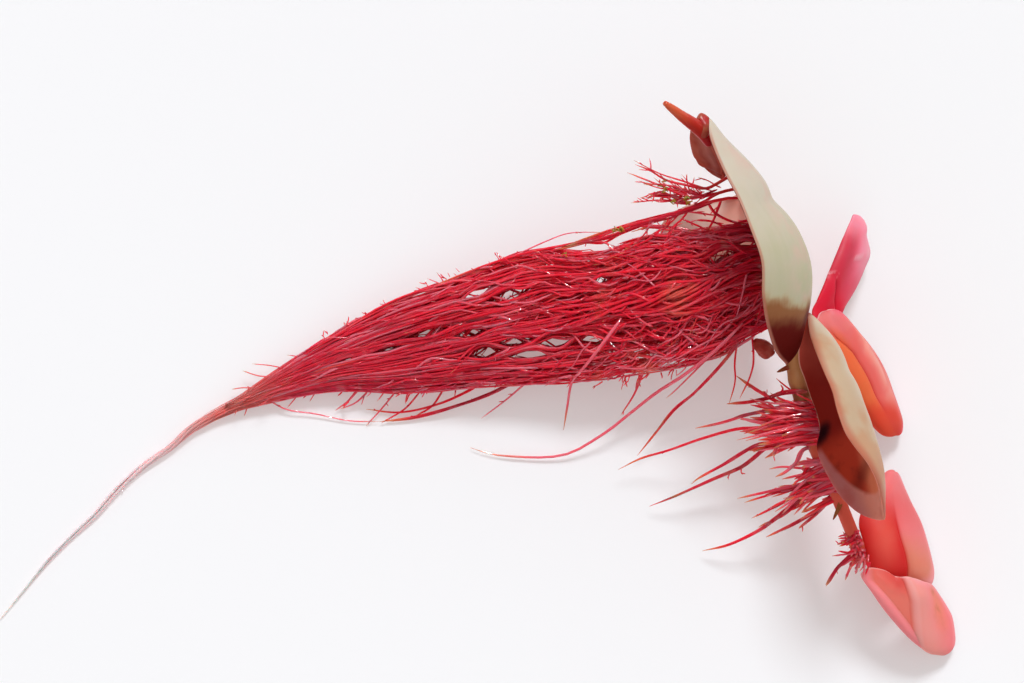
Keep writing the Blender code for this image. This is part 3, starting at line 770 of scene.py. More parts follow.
def endLeafLook():
    c = endColours
    look, wire = newLook("end_leaf", leafSoftness, Specular_IOR_Level=leafSheen * 2)
    a, b, under, edge = leafWires(wire)
    half = given(wire, "half")
    cloud = spots(wire, 300.0, 3.0)
    small = spots(wire, 900.0, 3.0)
    grain = spots(wire, 2400.0, 3.0)
    drift = (cloud - 0.5) * 0.25 + (small - 0.5) * 0.1
    # the upper half: a red pouch beside a salmon margin, with a painted highlight in the pouch's
    # middle
    pouch_highlight = (a - 0.15).band(0.0, 0.6) * (b + 0.45 + drift).band(0.0, 0.45)
    upper = pouch_highlight.paint(c["pouch_highlight"], c["red"])
    upper = (a + drift).step(0.05, -0.75).paint(c["salmon"], upper)
    margin = (a + drift).step(-0.05, 0.45).paint(c["tan"], c["salmon"])
    fold = b - a * 0.28 + drift * 0.15
    upper = (fold.step(-0.06, 0.03) * a.step(-0.7, 0.1)).paint(margin, upper)
    upper = ((edge + drift * 0.2).step(0.76, 0.98) * b.step(0.1, 0.5) * 0.8).paint(c["pink"], upper)
    upper = (a.step(0.74, 0.90) * 0.8).paint(c["crimson"], upper)
    # the lower half: a pink band, the pocket, its lip and the outer lobe
    lower = (a + drift).step(-0.95, -0.45).paint(c["pocket"], c["deep"])
    lower = (b - a * 0.36 + drift * 0.2).step(-0.44, -0.56).paint(c["band"], lower)
    lobe = (b + a * 0.45 + drift * 1.6).step(0.15, 0.85).paint(c["rose"], c["lobe"])
    lip = b + a * 0.57 + drift * 0.12
    lower = (lip.step(-0.15, -0.08)).paint(lobe, lower)
    lower = (lip.band(-0.05, 0.09) * a.step(0.7, 0.4) * 0.25).paint(c["rim"], lower)
    warm = (b - 0.72 + a * 0.5 + drift).band(0.0, 0.34) * (a + drift).band(0.05, 0.6)
    lower = (warm * 0.6).paint(c["orange"], lower)
    lower = (small.step(0.45, 0.75) * warm * 0.6).paint(c["ochre"], lower)
    lower = (edge.step(0.84, 0.99) * b.step(0.3, 0.6) * 0.6).paint(c["pink"], lower)
    colour = half.step(0.4, 0.6).paint(lower, upper)
    colour = (edge.step(0.975, 0.995) * a.step(0.1, -0.4) * 0.5).paint(c["rim"], colour)
    colour = (under.step(0.45, 0.55) * 0.6).paint(c["crimson"], colour)
    return connect(look, colour, 0.42 + grain * 0.15, grain, 0.00002, 0.3)


maroonColours = {
    "maroon": screen(138, 48, 34),
    "brown": screen(170, 76, 56),
    "pink": screen(236, 184, 166),
    "tan": screen(228, 206, 194),
    "edge": screen(196, 100, 84),
}


def maroonLeafLook(name, painted_lightness):
    c = maroonColours
    soft = {**leafSoftness, "weight": leafSoftness["weight"] * (1 - painted_lightness)}
    look, wire = newLook(name, soft, Specular_IOR_Level=leafSheen)
    _, b, _, edge = leafWires(wire)
    cloud = spots(wire, 500.0, 3.0)
    grain = spots(wire, 2600.0, 3.0)
    colour = (cloud * 0.6 + b * 0.25 + 0.15).step(0.3, 0.6).paint(c["brown"], c["maroon"])
    # painted light: the lightness share paints the leaf paler pink and the part past its valley
    # tan, brightening a leaf that lies in shade
    colour = (cloud.step(0.3, 0.7) * 0.12 + painted_lightness).paint(c["pink"], colour)
    colour = (b.step(0.25, 0.50) * painted_lightness).paint(c["tan"], colour)
    colour = (edge.step(0.90, 0.98) * 0.6).paint(c["edge"], colour)
    return connect(look, colour, 0.34 + grain * 0.18, grain, 0.00002, 0.35)


def wholeLeaf(lobes):
    blades = []
    for number, lobe in enumerate(lobes):
        blade = leafBlade(lobe)
        writeNumbers(blade, "half", np.full(len(blade.data.vertices), number))
        blades.append(blade)
    return joined(blades)


def makeLeaves():
    made = [
        ("large_pale_blade", [largePaleLeaf], "leaf_large_pale", "leaf_pale", paleLeafLook()),
        ("cupped_dark_blade", [cuppedDarkLeaf], "leaf_cupped_dark", "leaf_cupped",
         cuppedLeafLook()),
        ("folded_pink_blade", foldedPinkLobes, "leaf_folded_pink", "leaf_pink", foldedLeafLook()),
        ("end_pink_blade", endPinkLobes, "leaf_end_pink", "leaf_pink", endLeafLook()),
        # the leaf below the roots lies in shade and is painted much paler, as painted light
        ("blade_below_roots", [leafBelowRoots], "leaf_under_roots", "leaf_maroon",
         maroonLeafLook("leaf_below_roots", 0.80)),
        ("small_dark_blade", [smallDarkLeaf], "leaf_small_dark", "leaf_maroon",
         maroonLeafLook("small_dark_leaf", 0.0)),
    ]
    for name, lobes, node, slot, look in made:
        finished(wholeLeaf(lobes), name, node, look)


# Roots. Strands are joined in one mesh a piece: paths is strands x places x 3, in metres

# a direction that no strand follows, so that each can be given a side
slantedWay = np.array((0.31, 0.17, 0.93))


def strandTubes(name, bundles, sides=5):
    # each bundle has paths, radii, and per strand a tint and the share of ochre at the tip
    points, quads, caps, along, tint, tips = [], [], [], [], [], []
    start = 0
    turn = np.linspace(0, 2 * math.pi, sides, endpoint=False)
    for group in bundles:
        paths, radii = group["paths"], group["radii"]
        count, length = radii.shape
        way = unit(np.gradient(paths, axis=1))
        whole = unit(paths[:, -1] - paths[:, 0])
        spare = unit(np.cross(whole, slantedWay))[:, None]
        side = unit(spare - (spare * way).sum(-1, keepdims=True) * way)
        other = np.cross(way, side)
        ring = np.cos(turn)[:, None] * side[:, :, None] + np.sin(turn)[:, None] * other[:, :, None]
        places = paths[:, :, None] + ring * radii[:, :, None, None]
        points.append(places.reshape(-1, 3))
        index = start + np.arange(count * length * sides).reshape(count, length, sides)
        after = np.roll(index, -1, axis=2)
        faces = np.stack([index[:, :-1], after[:, :-1], after[:, 1:], index[:, 1:]], axis=-1)
        quads.append(faces.reshape(-1, 4))
        caps.append(index[:, 0, ::-1])
        caps.append(index[:, -1])
        every = np.ones((count, length, sides))
        along.append((np.linspace(0, 1, length)[:, None] * every).ravel())
        tint.append((group["tint"][:, None, None] * every).ravel())
        tips.append((group["tips"][:, None, None] * every).ravel())
        start += every.size
    mesh = bpy.data.meshes.new(name)
    faces = np.vstack(quads).tolist() + np.vstack(caps).tolist()
    mesh.from_pydata(np.vstack(points).tolist(), [], faces)
    mesh.update()
    piece = bpy.data.objects.new(name, mesh)
    bpy.context.scene.collection.objects.link(piece)
    for key, values in (("along", along), ("tint", tint), ("tips", tips)):
        writeNumbers(piece, key, np.concatenate(values))
    return piece


def taper(count, length, thick, thin, rng, spread=0.2, start=1.0):
    # radii in metres that thin towards the tip and close in a point; start is the first one's share
    t = np.linspace(0, 1, length)
    base = (thick + (thin - thick) * t) * np.clip((1 - t) / 0.14 + 0.10, 0, 1) ** 0.7
    base = base * np.clip(t / 0.10 + start, 0, 1) ** 0.7
    own = 1 + spread * (rng.random(count) * 2 - 1)
    return base[None] * own[:, None] * mm


def aboveFloor(paths, radii):
    paths[..., 2] = np.maximum(paths[..., 2], radii + 0.02 * mm)
    return paths


def bundle(paths, radii, tint, tips):
    count = len(paths)
    return {
        "paths": aboveFloor(paths, radii), "radii": radii,
        "tint": np.broadcast_to(tint, (count,)).astype(float),
        "tips": np.broadcast_to(tips, (count,)).astype(float),
    }


mainBundle = {
    "upper": [
        (18.2, 11.3, 7.1), (16.6, 11.7, 7.3), (13.9, 11.1, 6.5), (8.7, 9.8, 4.6),
        (3.1, 8.3, 3.3), (-1.9, 6.4, 2.4), (-6.1, 4.7, 1.8), (-11.5, 1.5, 1.1),
        (-15.9, -1.5, 0.6),
    ],
    "lower": [
        (20.0, 3.8, 6.5), (18.8, 3.15, 7.2), (17.6, 2.4, 7.0), (15.4, 1.2, 6.3),
        (10.5, 0.2, 4.4), (6.5, -0.3, 3.3), (1.0, -0.6, 2.4), (-4.6, -1.0, 1.7), (-9.6, -0.9, 1.0),
        (-15.9, -2.2, 0.6),
    ],
    "tail": [
        (-14.6, -1.5, 0.75), (-16.4, -2.1, 0.55), (-18.5, -3.3, 0.45), (-19.7, -4.4, 0.4),
        (-21.7, -5.8, 0.3), (-23.4, -7.4, 0.25), (-24.7, -8.9, 0.25), (-26.3, -10.4, 0.2),
        (-27.9, -12.1, 0.2), (-29.5, -14.1, 0.18), (-31.2, -16.1, 0.18),
    ],
    "heights": [0.9, 2.2, 2.6, 2.3, 2.0, 1.7, 1.35, 0.85, 0.45],
    "tailJoin": 0.13,
    "tailWidth": [0.36, 0.28, 0.22, 0.17, 0.13, 0.10],
    # how far the mass reaches towards its upper side, which is an open lattice near the stem
    "massTop": ([0.0, 0.10, 0.20, 0.28, 0.33, 0.38, 0.43],
                [0.60, 0.68, 0.78, 0.75, 0.80, 0.94, 1.0]),
    "locks": 46,
    "rootsPerLock": 8,
    "thick": 0.11,
    "thin": 0.065,
    "edgeRoots": 12,
    "tailRoots": 6,
    "wetRoots": 560,
    "fineRoots": 1300,
    # short side roots of the thick, edge, fine and tail roots: how many, shortest and longest
    "rootlets": [(480, (0.25, 1.8)), (160, (0.15, 0.6)), (160, (0.20, 1.0)), (20, (0.12, 0.45))],
}

# open places between the roots: middle, half length, half width, slope
openings = [
    ((0.3, 5.62), 0.80, 0.26, 0.40), ((2.4, 5.50), 1.35, 0.32, 0.25),
    ((8.2, 6.40), 0.80, 0.24, 0.10), ((-3.0, 3.00), 1.0, 0.22, 0.20),
    ((-0.3, 2.95), 0.80, 0.24, 0.10), ((2.4, 2.35), 1.1, 0.28, 0.05),
    ((0.6, 1.70), 0.90, 0.32, 0.10), ((5.2, 2.35), 0.80, 0.32, 0.15),
    ((7.6, 2.55), 0.70, 0.30, 0.35), ((3.6, 1.55), 0.90, 0.24, 0.10),
    ((15.8, 7.85), 1.0, 0.42, -0.15), ((17.6, 8.7), 0.50, 0.26, -0.2),
    ((-8.4, 1.2), 0.60, 0.10, 0.3), ((-5.6, 1.9), 0.70, 0.12, 0.3),
]


class BundleLine:
    # the middle, half width and half height of the main bundle and its tail, by distance in metres
    def __init__(self, values):
        upper, lower, tail = (Guide(values[key]) for key in ("upper", "lower", "tail"))
        shares = np.linspace(0, 1, 70)
        top, bottom = upper.at(shares), lower.at(shares)
        steps = np.linspace(0, 1, len(values["heights"]))
        height = np.interp(shares, steps, values["heights"]) * mm
        tailShares = np.linspace(values["tailJoin"], 1, 60)
        line = tail.at(tailShares)
        way = unit(np.gradient(line, axis=0))
        out = unit(np.stack([way[:, 1], -way[:, 0], np.zeros(len(way))], axis=-1))
        widths = values["tailWidth"]
        width = np.interp(tailShares, np.linspace(values["tailJoin"], 1, len(widths)), widths) * mm
        middle = np.vstack([(top + bottom) / 2, line])
        half = np.vstack([(top - bottom) / 2, out * width[:, None]])
        height = np.concatenate([height, width])
        kernel = np.array((1, 2, 3, 2, 1)) / 9
        for array in (middle, half):
            for k in range(3):
                padded = np.pad(array[:, k], 2, mode="edge")
                array[2:-2, k] = np.convolve(padded, kernel, mode="valid")[2:-2]
        reach = np.concatenate([[0], np.cumsum(np.linalg.norm(np.diff(middle, axis=0), axis=1))])
        self.reach, self.middle, self.half, self.height = reach, middle, half, height
        self.bodyLength = reach[69]
        self.length = reach[-1]

    def at(self, distance, v, w):
        middle = readAlong(distance, self.reach, self.middle)
        half = readAlong(distance, self.reach, self.half)
        height = np.interp(distance, self.reach, self.height)
        places = middle + half * v[..., None]
        places[..., 2] += height * w
        return places


def openUp(paths):
    # roots bend round the open places
    for (x, y), reach, gap, slope in openings:
        centre = seen((x, y, 4.0))[:2]
        along = np.array((math.cos(slope), math.sin(slope)))
        across = np.array((-along[1], along[0]))
        away = paths[..., :2] - centre
        u = (away @ along) / (reach * 1.8 * mm)
        n = (away @ across) / (gap * mm)
        near = np.exp(-u ** 2 * 2)
        lean = (near * n).sum(axis=1, keepdims=True)
        way = np.where(lean < 0, -1.0, 1.0)
        push = near * np.maximum(0, 1.25 - np.abs(n) * 0.42) * (np.abs(n) < 3)
        paths[..., :2] += (way * push * gap * mm)[..., None] * across
    return paths


def inDisc(rng, count, reach=0.95):
    r = np.sqrt(rng.random(count)) * reach
    turn = rng.random(count) * 2 * math.pi
    return r * np.cos(turn), r * np.sin(turn)


def wave(rng, count, distance, size, length):
    # slow sideways wander of each strand, lengths in metres
    turns = distance / (length * (0.7 + 0.6 * rng.random((count, 1))))
    return size * np.sin(2 * math.pi * (turns + rng.random((count, 1))))


def underTop(values, share, v):
    return np.where(v > 0, v * np.interp(share, *values["massTop"]), v)


def kept(v, w, most):
    # strands stay inside the bundle's outline
    r = np.sqrt(v * v + w * w)
    squeeze = np.where(r > most, most / np.maximum(r, 1e-6), 1)
    return v * squeeze, w * squeeze


def mainRootPaths(line, values, rng, stations=42):
    locks, each = values["locks"], values["rootsPerLock"]
    count = locks * each
    lock = np.repeat(np.arange(locks), each)
    v0, w0 = inDisc(rng, locks)
    v1, w1 = inDisc(rng, locks)
    turn = 0.35
    v1, w1 = v0 * turn + v1 * (1 - turn), w0 * turn + w1 * (1 - turn)
    ends = np.clip(0.42 + 0.75 * rng.random(count) ** 0.7, 0, 1.0)
    starts = 0.02 * rng.random(count)
    t = np.linspace(0, 1, stations)[None]
    share = starts[:, None] + (ends - starts)[:, None] * t
    distance = share * line.bodyLength
    swap = fade(share, 0.0, 0.8)
    v = v0[lock][:, None] * (1 - swap) + v1[lock][:, None] * swap
    w = w0[lock][:, None] * (1 - swap) + w1[lock][:, None] * swap
    loose = 0.10 + 0.18 * np.sin(share * 9 + rng.random(count)[:, None] * 6) ** 2
    loose = loose * (1 - 0.45 * fade(share, 0.45, 0.8))
    offV, offW = inDisc(rng, count, 1.0)
    calm = 1 - 0.7 * fade(share, 0.35, 0.7)
    v = v + offV[:, None] * loose + wave(rng, count, distance, 0.055, 9 * mm) * calm
    w = w + offW[:, None] * loose * 0.8 + wave(rng, count, distance, 0.08, 12 * mm)
    v, w = kept(v, w, 0.97)
    return line.at(distance, underTop(values, share, v), w)


def wetRootPaths(line, values, rng, stations=26):
    # long straight roots that cling together where the bundle narrows
    count = values["wetRoots"]
    t = np.linspace(0, 1, stations)[None]
    start = 0.30 + 0.35 * rng.random((count, 1))
    end = np.minimum(start + 0.25 + 0.35 * rng.random((count, 1)), 1.0)
    share = start + (end - start) * t
    distance = share * line.bodyLength
    v0, w0 = inDisc(rng, count, 1.0)
    w0 = np.where(rng.random(count) < 0.8, np.abs(w0), w0)
    lean = (rng.random((count, 1)) - 0.5) * 0.35
    v = v0[:, None] + lean * t + wave(rng, count, distance, 0.015, 9 * mm)
    w = w0[:, None] + wave(rng, count, distance, 0.04, 9 * mm)
    v, w = kept(v, w, 0.98)
    return line.at(distance, underTop(values, share, v), w)


def edgeRootPaths(line, values, rng, stations=60):
    count = values["edgeRoots"]
    side = np.where(np.arange(count) % 2 == 0, 1.0, -1.0)[:, None]
    t = np.linspace(0, 1, stations)[None]
    share = 0.03 * rng.random((count, 1)) + (0.75 + 0.25 * rng.random((count, 1))) * t
    distance = share * line.bodyLength
    v = side * (0.97 - 0.10 * rng.random((count, 1))) + wave(rng, count, distance, 0.03, 8 * mm)
    w = (rng.random((count, 1)) - 0.5) * 0.5 + wave(rng, count, distance, 0.15, 14 * mm)
    return line.at(distance, underTop(values, share, np.clip(v, -1.0, 1.0)), w)


def tailRootPaths(line, values, rng, stations=84):
    count = values["tailRoots"]
    t = np.linspace(0, 1, stations)[None]
    start = line.bodyLength * (0.45 + 0.2 * rng.random((count, 1)))
    last = line.length - np.linspace(0, 1, count)[:, None] ** 1.3 * 15 * mm
    distance = start + (last - start) * t
    turn = 2 * math.pi * (np.arange(count)[:, None] / count + distance / (19 * mm))
    inTail = fade(distance, line.bodyLength * 0.85, line.bodyLength * 1.1)
    reach = 0.55 * (1 - inTail) + 0.50 * inTail
    return line.at(distance, np.cos(turn) * reach, np.sin(turn) * reach)


def fineRootPaths(line, values, rng, stations=14):
    # thin side roots that cross the thick ones, most of them near the stem and near the top
    count = values["fineRoots"]
    start = rng.random((count, 1)) ** 1.4 * 0.90
    reach = (1.6 + 7 * rng.random((count, 1)) ** 1.6) * mm
    t = np.linspace(0, 1, stations)[None]
    distance = start * line.bodyLength + reach * t
    v0, w0 = inDisc(rng, count, 1.0)
    w0 = np.where(rng.random(count) < 0.8, np.abs(w0), w0)
    cross = (rng.random((count, 1)) - 0.5) * 1.5 * (1 - 0.7 * start)
    curl = 0.05 + 0.06 * rng.random((count, 1)) * (1 - start)
    v = v0[:, None] + cross * t + wave(rng, count, distance, curl, 3.6 * mm)
    w = w0[:, None] * (1 - 0.2 * t) + wave(rng, count, distance, 0.10, 4 * mm)
    v, w = kept(v, w, 1.0)
    return line.at(distance, underTop(values, distance / line.bodyLength, v), w)


def sprout(rng, paths, count, length, lean=(25, 75), first=0.05, last=0.98, stations=6, up=0.15):
    # short side roots that leave their parents at an angle and curve towards the tip
    strand = rng.integers(0, len(paths), count)
    share = first + (last - first) * rng.random(count)
    spot = share * (paths.shape[1] - 1)
    low = np.minimum(spot.astype(int), paths.shape[1] - 2)
    part = (spot - low)[:, None]
    base = paths[strand, low] * (1 - part) + paths[strand, low + 1] * part
    way = unit(paths[strand, low + 1] - paths[strand, low])
    out = rng.normal(size=(count, 3))
    out[:, 2] = out[:, 2] * 0.8 + up
    out = unit(out - (out * way).sum(1, keepdims=True) * way)
    angle = np.radians(lean[0] + (lean[1] - lean[0]) * rng.random(count))[:, None]
    go = way * np.cos(angle) + out * np.sin(angle)
    reach = (length[0] + (length[1] - length[0]) * rng.random(count) ** 2.2)[:, None] * mm
    bend = unit(rng.normal(size=(count, 3)))
    t = np.linspace(0, 1, stations)[None, :, None]
    made = base[:, None] + go[:, None] * reach[:, None] * t
    return made + (way * 0.35 + bend * 0.18)[:, None] * reach[:, None] * t ** 2


rootColours = {
    "crimson": screen(236, 34, 58),
    "wine": screen(204, 12, 36),
    "rose": screen(242, 106, 124),
    "brick": screen(234, 112, 92),
    "ochre": screen(206, 152, 92),
    "olive": screen(156, 124, 40),
    "beige": screen(246, 230, 220),
    "blush": screen(255, 206, 208),
}


def rootLook():
    c = rootColours
    look, wire = newLook(
        "red_root", {"weight": 0.55, "colour": (1.0, 0.16, 0.18), "reach": 0.0006},
        Specular_IOR_Level=0.08, Coat_Roughness=0.11,
    )
    along, tint, tips = given(wire, "along"), given(wire, "tint"), given(wire, "tips")
    place = wire.node("TexCoord", {}, {}, "Object")
    split = wire.node("SeparateXYZ", {}, {0: place}, 0)
    patch = spots(wire, 420.0, 2.0)
    wet = spots(wire, 2000.0, 1.0)
    grain = spots(wire, 2500.0, 2.0)
    colour = tint.step(0.0, 0.35).paint(c["crimson"], c["wine"])
    colour = tint.step(0.55, 1.0).paint(c["rose"], colour)
    colour = (patch.step(0.55, 0.75) * split.step(0.0, 0.012) * 0.6).paint(c["brick"], colour)
    colour = (split.step(-0.0110, -0.0170) * 0.65).paint(c["brick"], colour)
    colour = (split.step(-0.0150, -0.0225) * 0.95).paint(c["blush"], colour)
    colour = split.step(-0.0270, -0.0315).paint(c["beige"], colour)
    tip = (along + (patch - 0.5) * 0.1).step(0.78, 0.98) * tips
    colour = tip.paint(c["ochre"], colour)
    colour = tint.step(1.2, 1.5).paint(c["olive"], colour)
    # the coat makes drops of wet gloss along the roots
    drops = wet.step(0.52, 0.60)
    return connect(look, colour, 0.36 + grain * 0.2, grain, 0.00004, 0.5, coat=drops)


def makeMainRoots(look):
    values = mainBundle
    line = BundleLine(values)
    rng = np.random.default_rng(11)
    thick = openUp(mainRootPaths(line, values, rng))
    edges = edgeRootPaths(line, values, rng)
    tail = tailRootPaths(line, values, rng)
    wet = openUp(wetRootPaths(line, values, rng))
    fine = openUp(fineRootPaths(line, values, rng))
    strands = [
        bundle(thick, taper(len(thick), thick.shape[1], values["thick"], values["thin"], rng),
               rng.random(len(thick)) * 0.75, 0.15),
        bundle(edges, taper(len(edges), edges.shape[1], 0.10, 0.06, rng), 0.45, 0.1),
        bundle(tail, taper(len(tail), tail.shape[1], 0.12, 0.10, rng, 0.1), 0.45, 0.0),
    ]
    finished(strandTubes("main_roots", strands), "main_roots", "root_bundle_main", look)

    strands = [
        bundle(wet, taper(len(wet), wet.shape[1], 0.085, 0.045, rng, 0.3, 0.1),
               rng.random(len(wet)) * 0.95, 0.0),
    ]
    piece = strandTubes("clinging_roots", strands, sides=4)
    finished(piece, "clinging_roots", "root_bundle_main", look)

    strands = [
        bundle(fine, taper(len(fine), fine.shape[1], 0.080, 0.035, rng, 0.35, 0.1),
               0.25 + 0.75 * rng.random(len(fine)), 0.35 * (rng.random(len(fine)) < 0.3)),
    ]
    for parents, (count, length) in zip((thick, edges, fine, tail), values["rootlets"]):
        short = sprout(rng, parents, count, length)
        strands.append(bundle(short, taper(count, short.shape[1], 0.055, 0.025, rng),
                              0.3 + 0.6 * rng.random(count), rng.random(count)))
    piece = strandTubes("main_side_roots", strands, sides=4)
    finished(piece, "main_side_roots", "root_bundle_main", look)


# Roots drawn one by one: copies of each, how far they stray, thickness at both ends, tint, the line

topRoots = [
    (1, 0.05, 0.12, 0.08, 0.3, [(18.2, 11.5, 7.2), (17.2, 11.75, 7.8), (15.8, 11.6, 8.2),
                                (13.7, 11.0, 8.0), (11.9, 10.4, 7.3), (10.1, 9.95, 6.5),
                                (8.4, 9.35, 5.6), (6.5, 8.8, 4.8), (3.0, 8.1, 3.9),
                                (-0.3, 7.0, 3.1), (-4.5, 5.2, 2.3)]),
    (2, 0.10, 0.09, 0.06, 0.6, [(15.4, 11.4, 8.0), (14.0, 10.9, 7.8), (12.6, 10.5, 7.6),
                                (10.6, 9.9, 6.6), (8.8, 9.25, 5.7), (6.0, 8.5, 4.6),
                                (2.4, 7.7, 3.6), (-2.0, 6.2, 2.6)]),
    (2, 0.14, 0.09, 0.06, 0.4, [(13.2, 10.6, 7.6), (11.2, 10.1, 6.8), (9.4, 9.4, 5.8),
                                (8.3, 8.8, 5.2), (7.0, 8.8, 4.9), (5.6, 8.5, 4.5)]),
    (1, 0.05, 0.08, 0.05, 0.5, [(14.4, 10.3, 7.6), (15.4, 10.2, 7.6), (16.6, 9.7, 7.5),
                                (18.0, 9.2, 7.2)]),
    (1, 0.03, 0.10, 0.07, 0.3, [(15.14, 11.4, 8.0), (15.63, 10.73, 7.8), (16.57, 10.24, 7.6),
                                (17.7, 10.0, 7.4)]),
    (1, 0.03, 0.09, 0.06, 0.4, [(16.0, 11.6, 8.1), (15.7, 10.8, 7.8), (15.4, 10.1, 7.6),
                                (14.9, 9.4, 7.3)]),
    (1, 0.05, 0.07, 0.05, 0.6, [(13.2, 10.2, 7.6), (12.6, 9.3, 7.2), (12.0, 8.4, 6.6)]),
    (1, 0.05, 0.08, 0.05, 0.4, [(11.4, 9.3, 6.8), (13.0, 9.2, 7.2), (14.6, 8.8, 7.2),
                                (16.0, 8.7, 7.2)]),
    (1, 0.05, 0.09, 0.05, 0.7, [(11.9, 8.1, 6.0), (9.3, 8.2, 5.6), (8.5, 8.8, 5.4),
                                (7.1, 8.9, 5.1), (5.9, 8.6, 4.7)]),
    (3, 0.22, 0.10, 0.06, 0.3, [(18.4, 10.1, 7.2), (17.8, 10.0, 7.4), (16.1, 9.85, 7.5),
                                (14.8, 9.5, 7.4), (13.0, 9.6, 7.3), (11.3, 9.8, 6.9),
                                (10.2, 9.5, 6.3)]),
    (1, 0.03, 0.08, 0.05, 0.5, [(13.8, 10.8, 7.7), (13.4, 10.3, 7.5), (12.9, 9.9, 7.3),
                                (12.4, 9.2, 7.0)]),
    (1, 0.03, 0.08, 0.05, 0.6, [(10.6, 9.9, 6.6), (11.4, 9.85, 6.9), (12.9, 9.8, 7.2),
                                (13.9, 9.5, 7.3), (14.9, 9.4, 7.3)]),
    (1, 0.03, 0.07, 0.05, 0.5, [(13.4, 10.4, 7.6), (14.2, 10.05, 7.6), (14.9, 9.75, 7.5),
                                (15.6, 9.5, 7.4)]),
    (1, 0.05, 0.07, 0.04, 0.7, [(12.9, 10.6, 7.7), (12.4, 9.9, 7.3), (12.0, 9.2, 6.9)]),
    (1, 0.05, 0.07, 0.04, 0.8, [(11.4, 10.2, 7.1), (11.1, 9.5, 6.7), (10.3, 8.6, 6.0)]),
    (1, 0.05, 0.08, 0.05, 0.4, [(12.1, 9.7, 7.1), (11.2, 9.0, 6.6), (9.6, 8.3, 5.9)]),
    (1, 0.05, 0.07, 0.04, 0.9, [(13.9, 9.7, 7.4), (12.6, 9.0, 7.1), (11.9, 8.2, 6.8)]),
]

looseRoots = [
    (2, 0.10, 0.12, 0.06, 0.4, [(18.2, 3.9, 7.6), (17.0, 2.2, 7.2), (15.9, 0.8, 6.2),
                                (14.3, -0.9, 4.4), (13.0, -2.0, 3.0), (11.8, -3.4, 1.8),
                                (10.5, -5.0, 0.8)]),
    (1, 0.05, 0.14, 0.07, 0.85, [(17.4, 3.6, 8.4), (15.8, 2.0, 7.6), (13.7, 0.3, 5.6),
                                 (11.7, -1.0, 3.4), (9.8, -2.5, 2.0), (8.2, -3.7, 1.3),
                                 (5.6, -5.0, 0.5), (1.7, -5.0, 0.3), (-0.3, -4.5, 0.3)]),
    (1, 0.0, 0.11, 0.06, 0.85, [(9.5, 3.9, 7.4), (9.0, 3.2, 7.3), (8.16, 2.1, 6.8),
                                (7.4, 1.1, 6.0), (6.83, 0.42, 5.0), (6.27, -0.29, 3.6),
                                (6.0, -1.8, 1.8), (5.75, -3.35, 0.6)]),
    (1, 0.0, 0.06, 0.03, 0.7, [(-11.4, -0.9, 0.9), (-11.7, -1.3, 0.6), (-12.2, -1.9, 0.3)]),
    (1, 0.0, 0.06, 0.03, 0.6, [(-10.2, -0.6, 0.9), (-10.5, -1.1, 0.6), (-10.75, -1.5, 0.4)]),
    (1, 0.0, 0.07, 0.03, 0.7, [(-7.7, -0.8, 1.0), (-8.3, -1.5, 0.6), (-9.1, -2.1, 0.3)]),
    (1, 0.0, 0.07, 0.03, 0.8, [(-7.0, -0.9, 1.0), (-7.8, -1.6, 0.6), (-8.8, -2.0, 0.3)]),
    (1, 0.0, 0.05, 0.03, 0.8, [(-12.6, 0.7, 1.2), (-13.4, 0.85, 1.1), (-14.5, 0.95, 0.9)]),
    (1, 0.0, 0.05, 0.03, 0.8, [(-13.4, 0.1, 1.0), (-14.2, 0.2, 0.9), (-15.1, 0.5, 0.8)]),
    (1, 0.0, 0.05, 0.03, 0.8, [(-14.3, -0.7, 0.9), (-15.0, -0.6, 0.8), (-15.8, -0.7, 0.7)]),
    (2, 0.10, 0.10, 0.05, 0.7, [(11.3, 1.4, 4.2), (10.4, -0.9, 2.8), (9.5, -2.4, 1.8)]),
    (1, 0.0, 0.11, 0.06, 0.6, [(17.8, 4.6, 6.6), (18.1, 1.6, 6.2), (17.9, 0.2, 5.4),
                               (17.2, -1.3, 4.4)]),
    (1, 0.0, 0.10, 0.05, 0.5, [(17.4, 4.4, 6.6), (16.9, 1.3, 5.8), (16.9, -0.2, 4.8),
                               (16.5, -1.7, 4.0)]),
    (1, 0.0, 0.06, 0.04, 0.9, [(-13.9, -1.1, 0.9), (-12.3, -2.0, 0.5), (-10.4, -2.3, 0.35),
                               (-8.2, -2.75, 0.25), (-6.2, -2.8, 0.30)]),
    (3, 0.07, 0.12, 0.06, 0.4, [(3.2, 0.2, 2.4), (1.0, -1.0, 1.6), (-1.6, -1.9, 0.8),
                                (-4.0, -2.5, 0.4), (-6.2, -2.8, 0.30)]),
    (1, 0.0, 0.10, 0.05, 0.3, [(0.2, -0.5, 1.8), (-2.2, -1.6, 0.9), (-4.8, -2.2, 0.4),
                               (-7.1, -2.0, 0.3)]),
    (1, 0.0, 0.07, 0.04, 0.7, [(-5.2, -0.9, 1.0), (-6.1, -2.0, 0.5), (-7.1, -3.1, 0.2)]),
    (1, 0.0, 0.07, 0.05, 0.6, [(-3.6, -0.9, 1.0), (-4.6, -2.0, 0.6), (-6.1, -2.9, 0.3)]),
    (1, 0.0, 0.07, 0.05, 0.6, [(-2.1, -0.8, 1.2), (-2.8, -1.8, 0.7), (-3.8, -2.4, 0.4)]),
    (1, 0.0, 0.07, 0.03, 0.95, [(3.4, -0.2, 2.0), (2.0, -1.4, 1.1), (0.4, -2.6, 0.3)]),
    (1, 0.0, 0.07, 0.03, 0.8, [(15.6, 1.8, 6.2), (13.2, -0.6, 4.4), (12.4, -1.3, 3.6)]),
    (1, 0.0, 0.06, 0.03, 0.95, [(2.6, 8.0, 3.6), (4.7, 8.95, 4.0), (6.2, 9.45, 4.6),
                                (8.4, 9.5, 5.6)]),
]

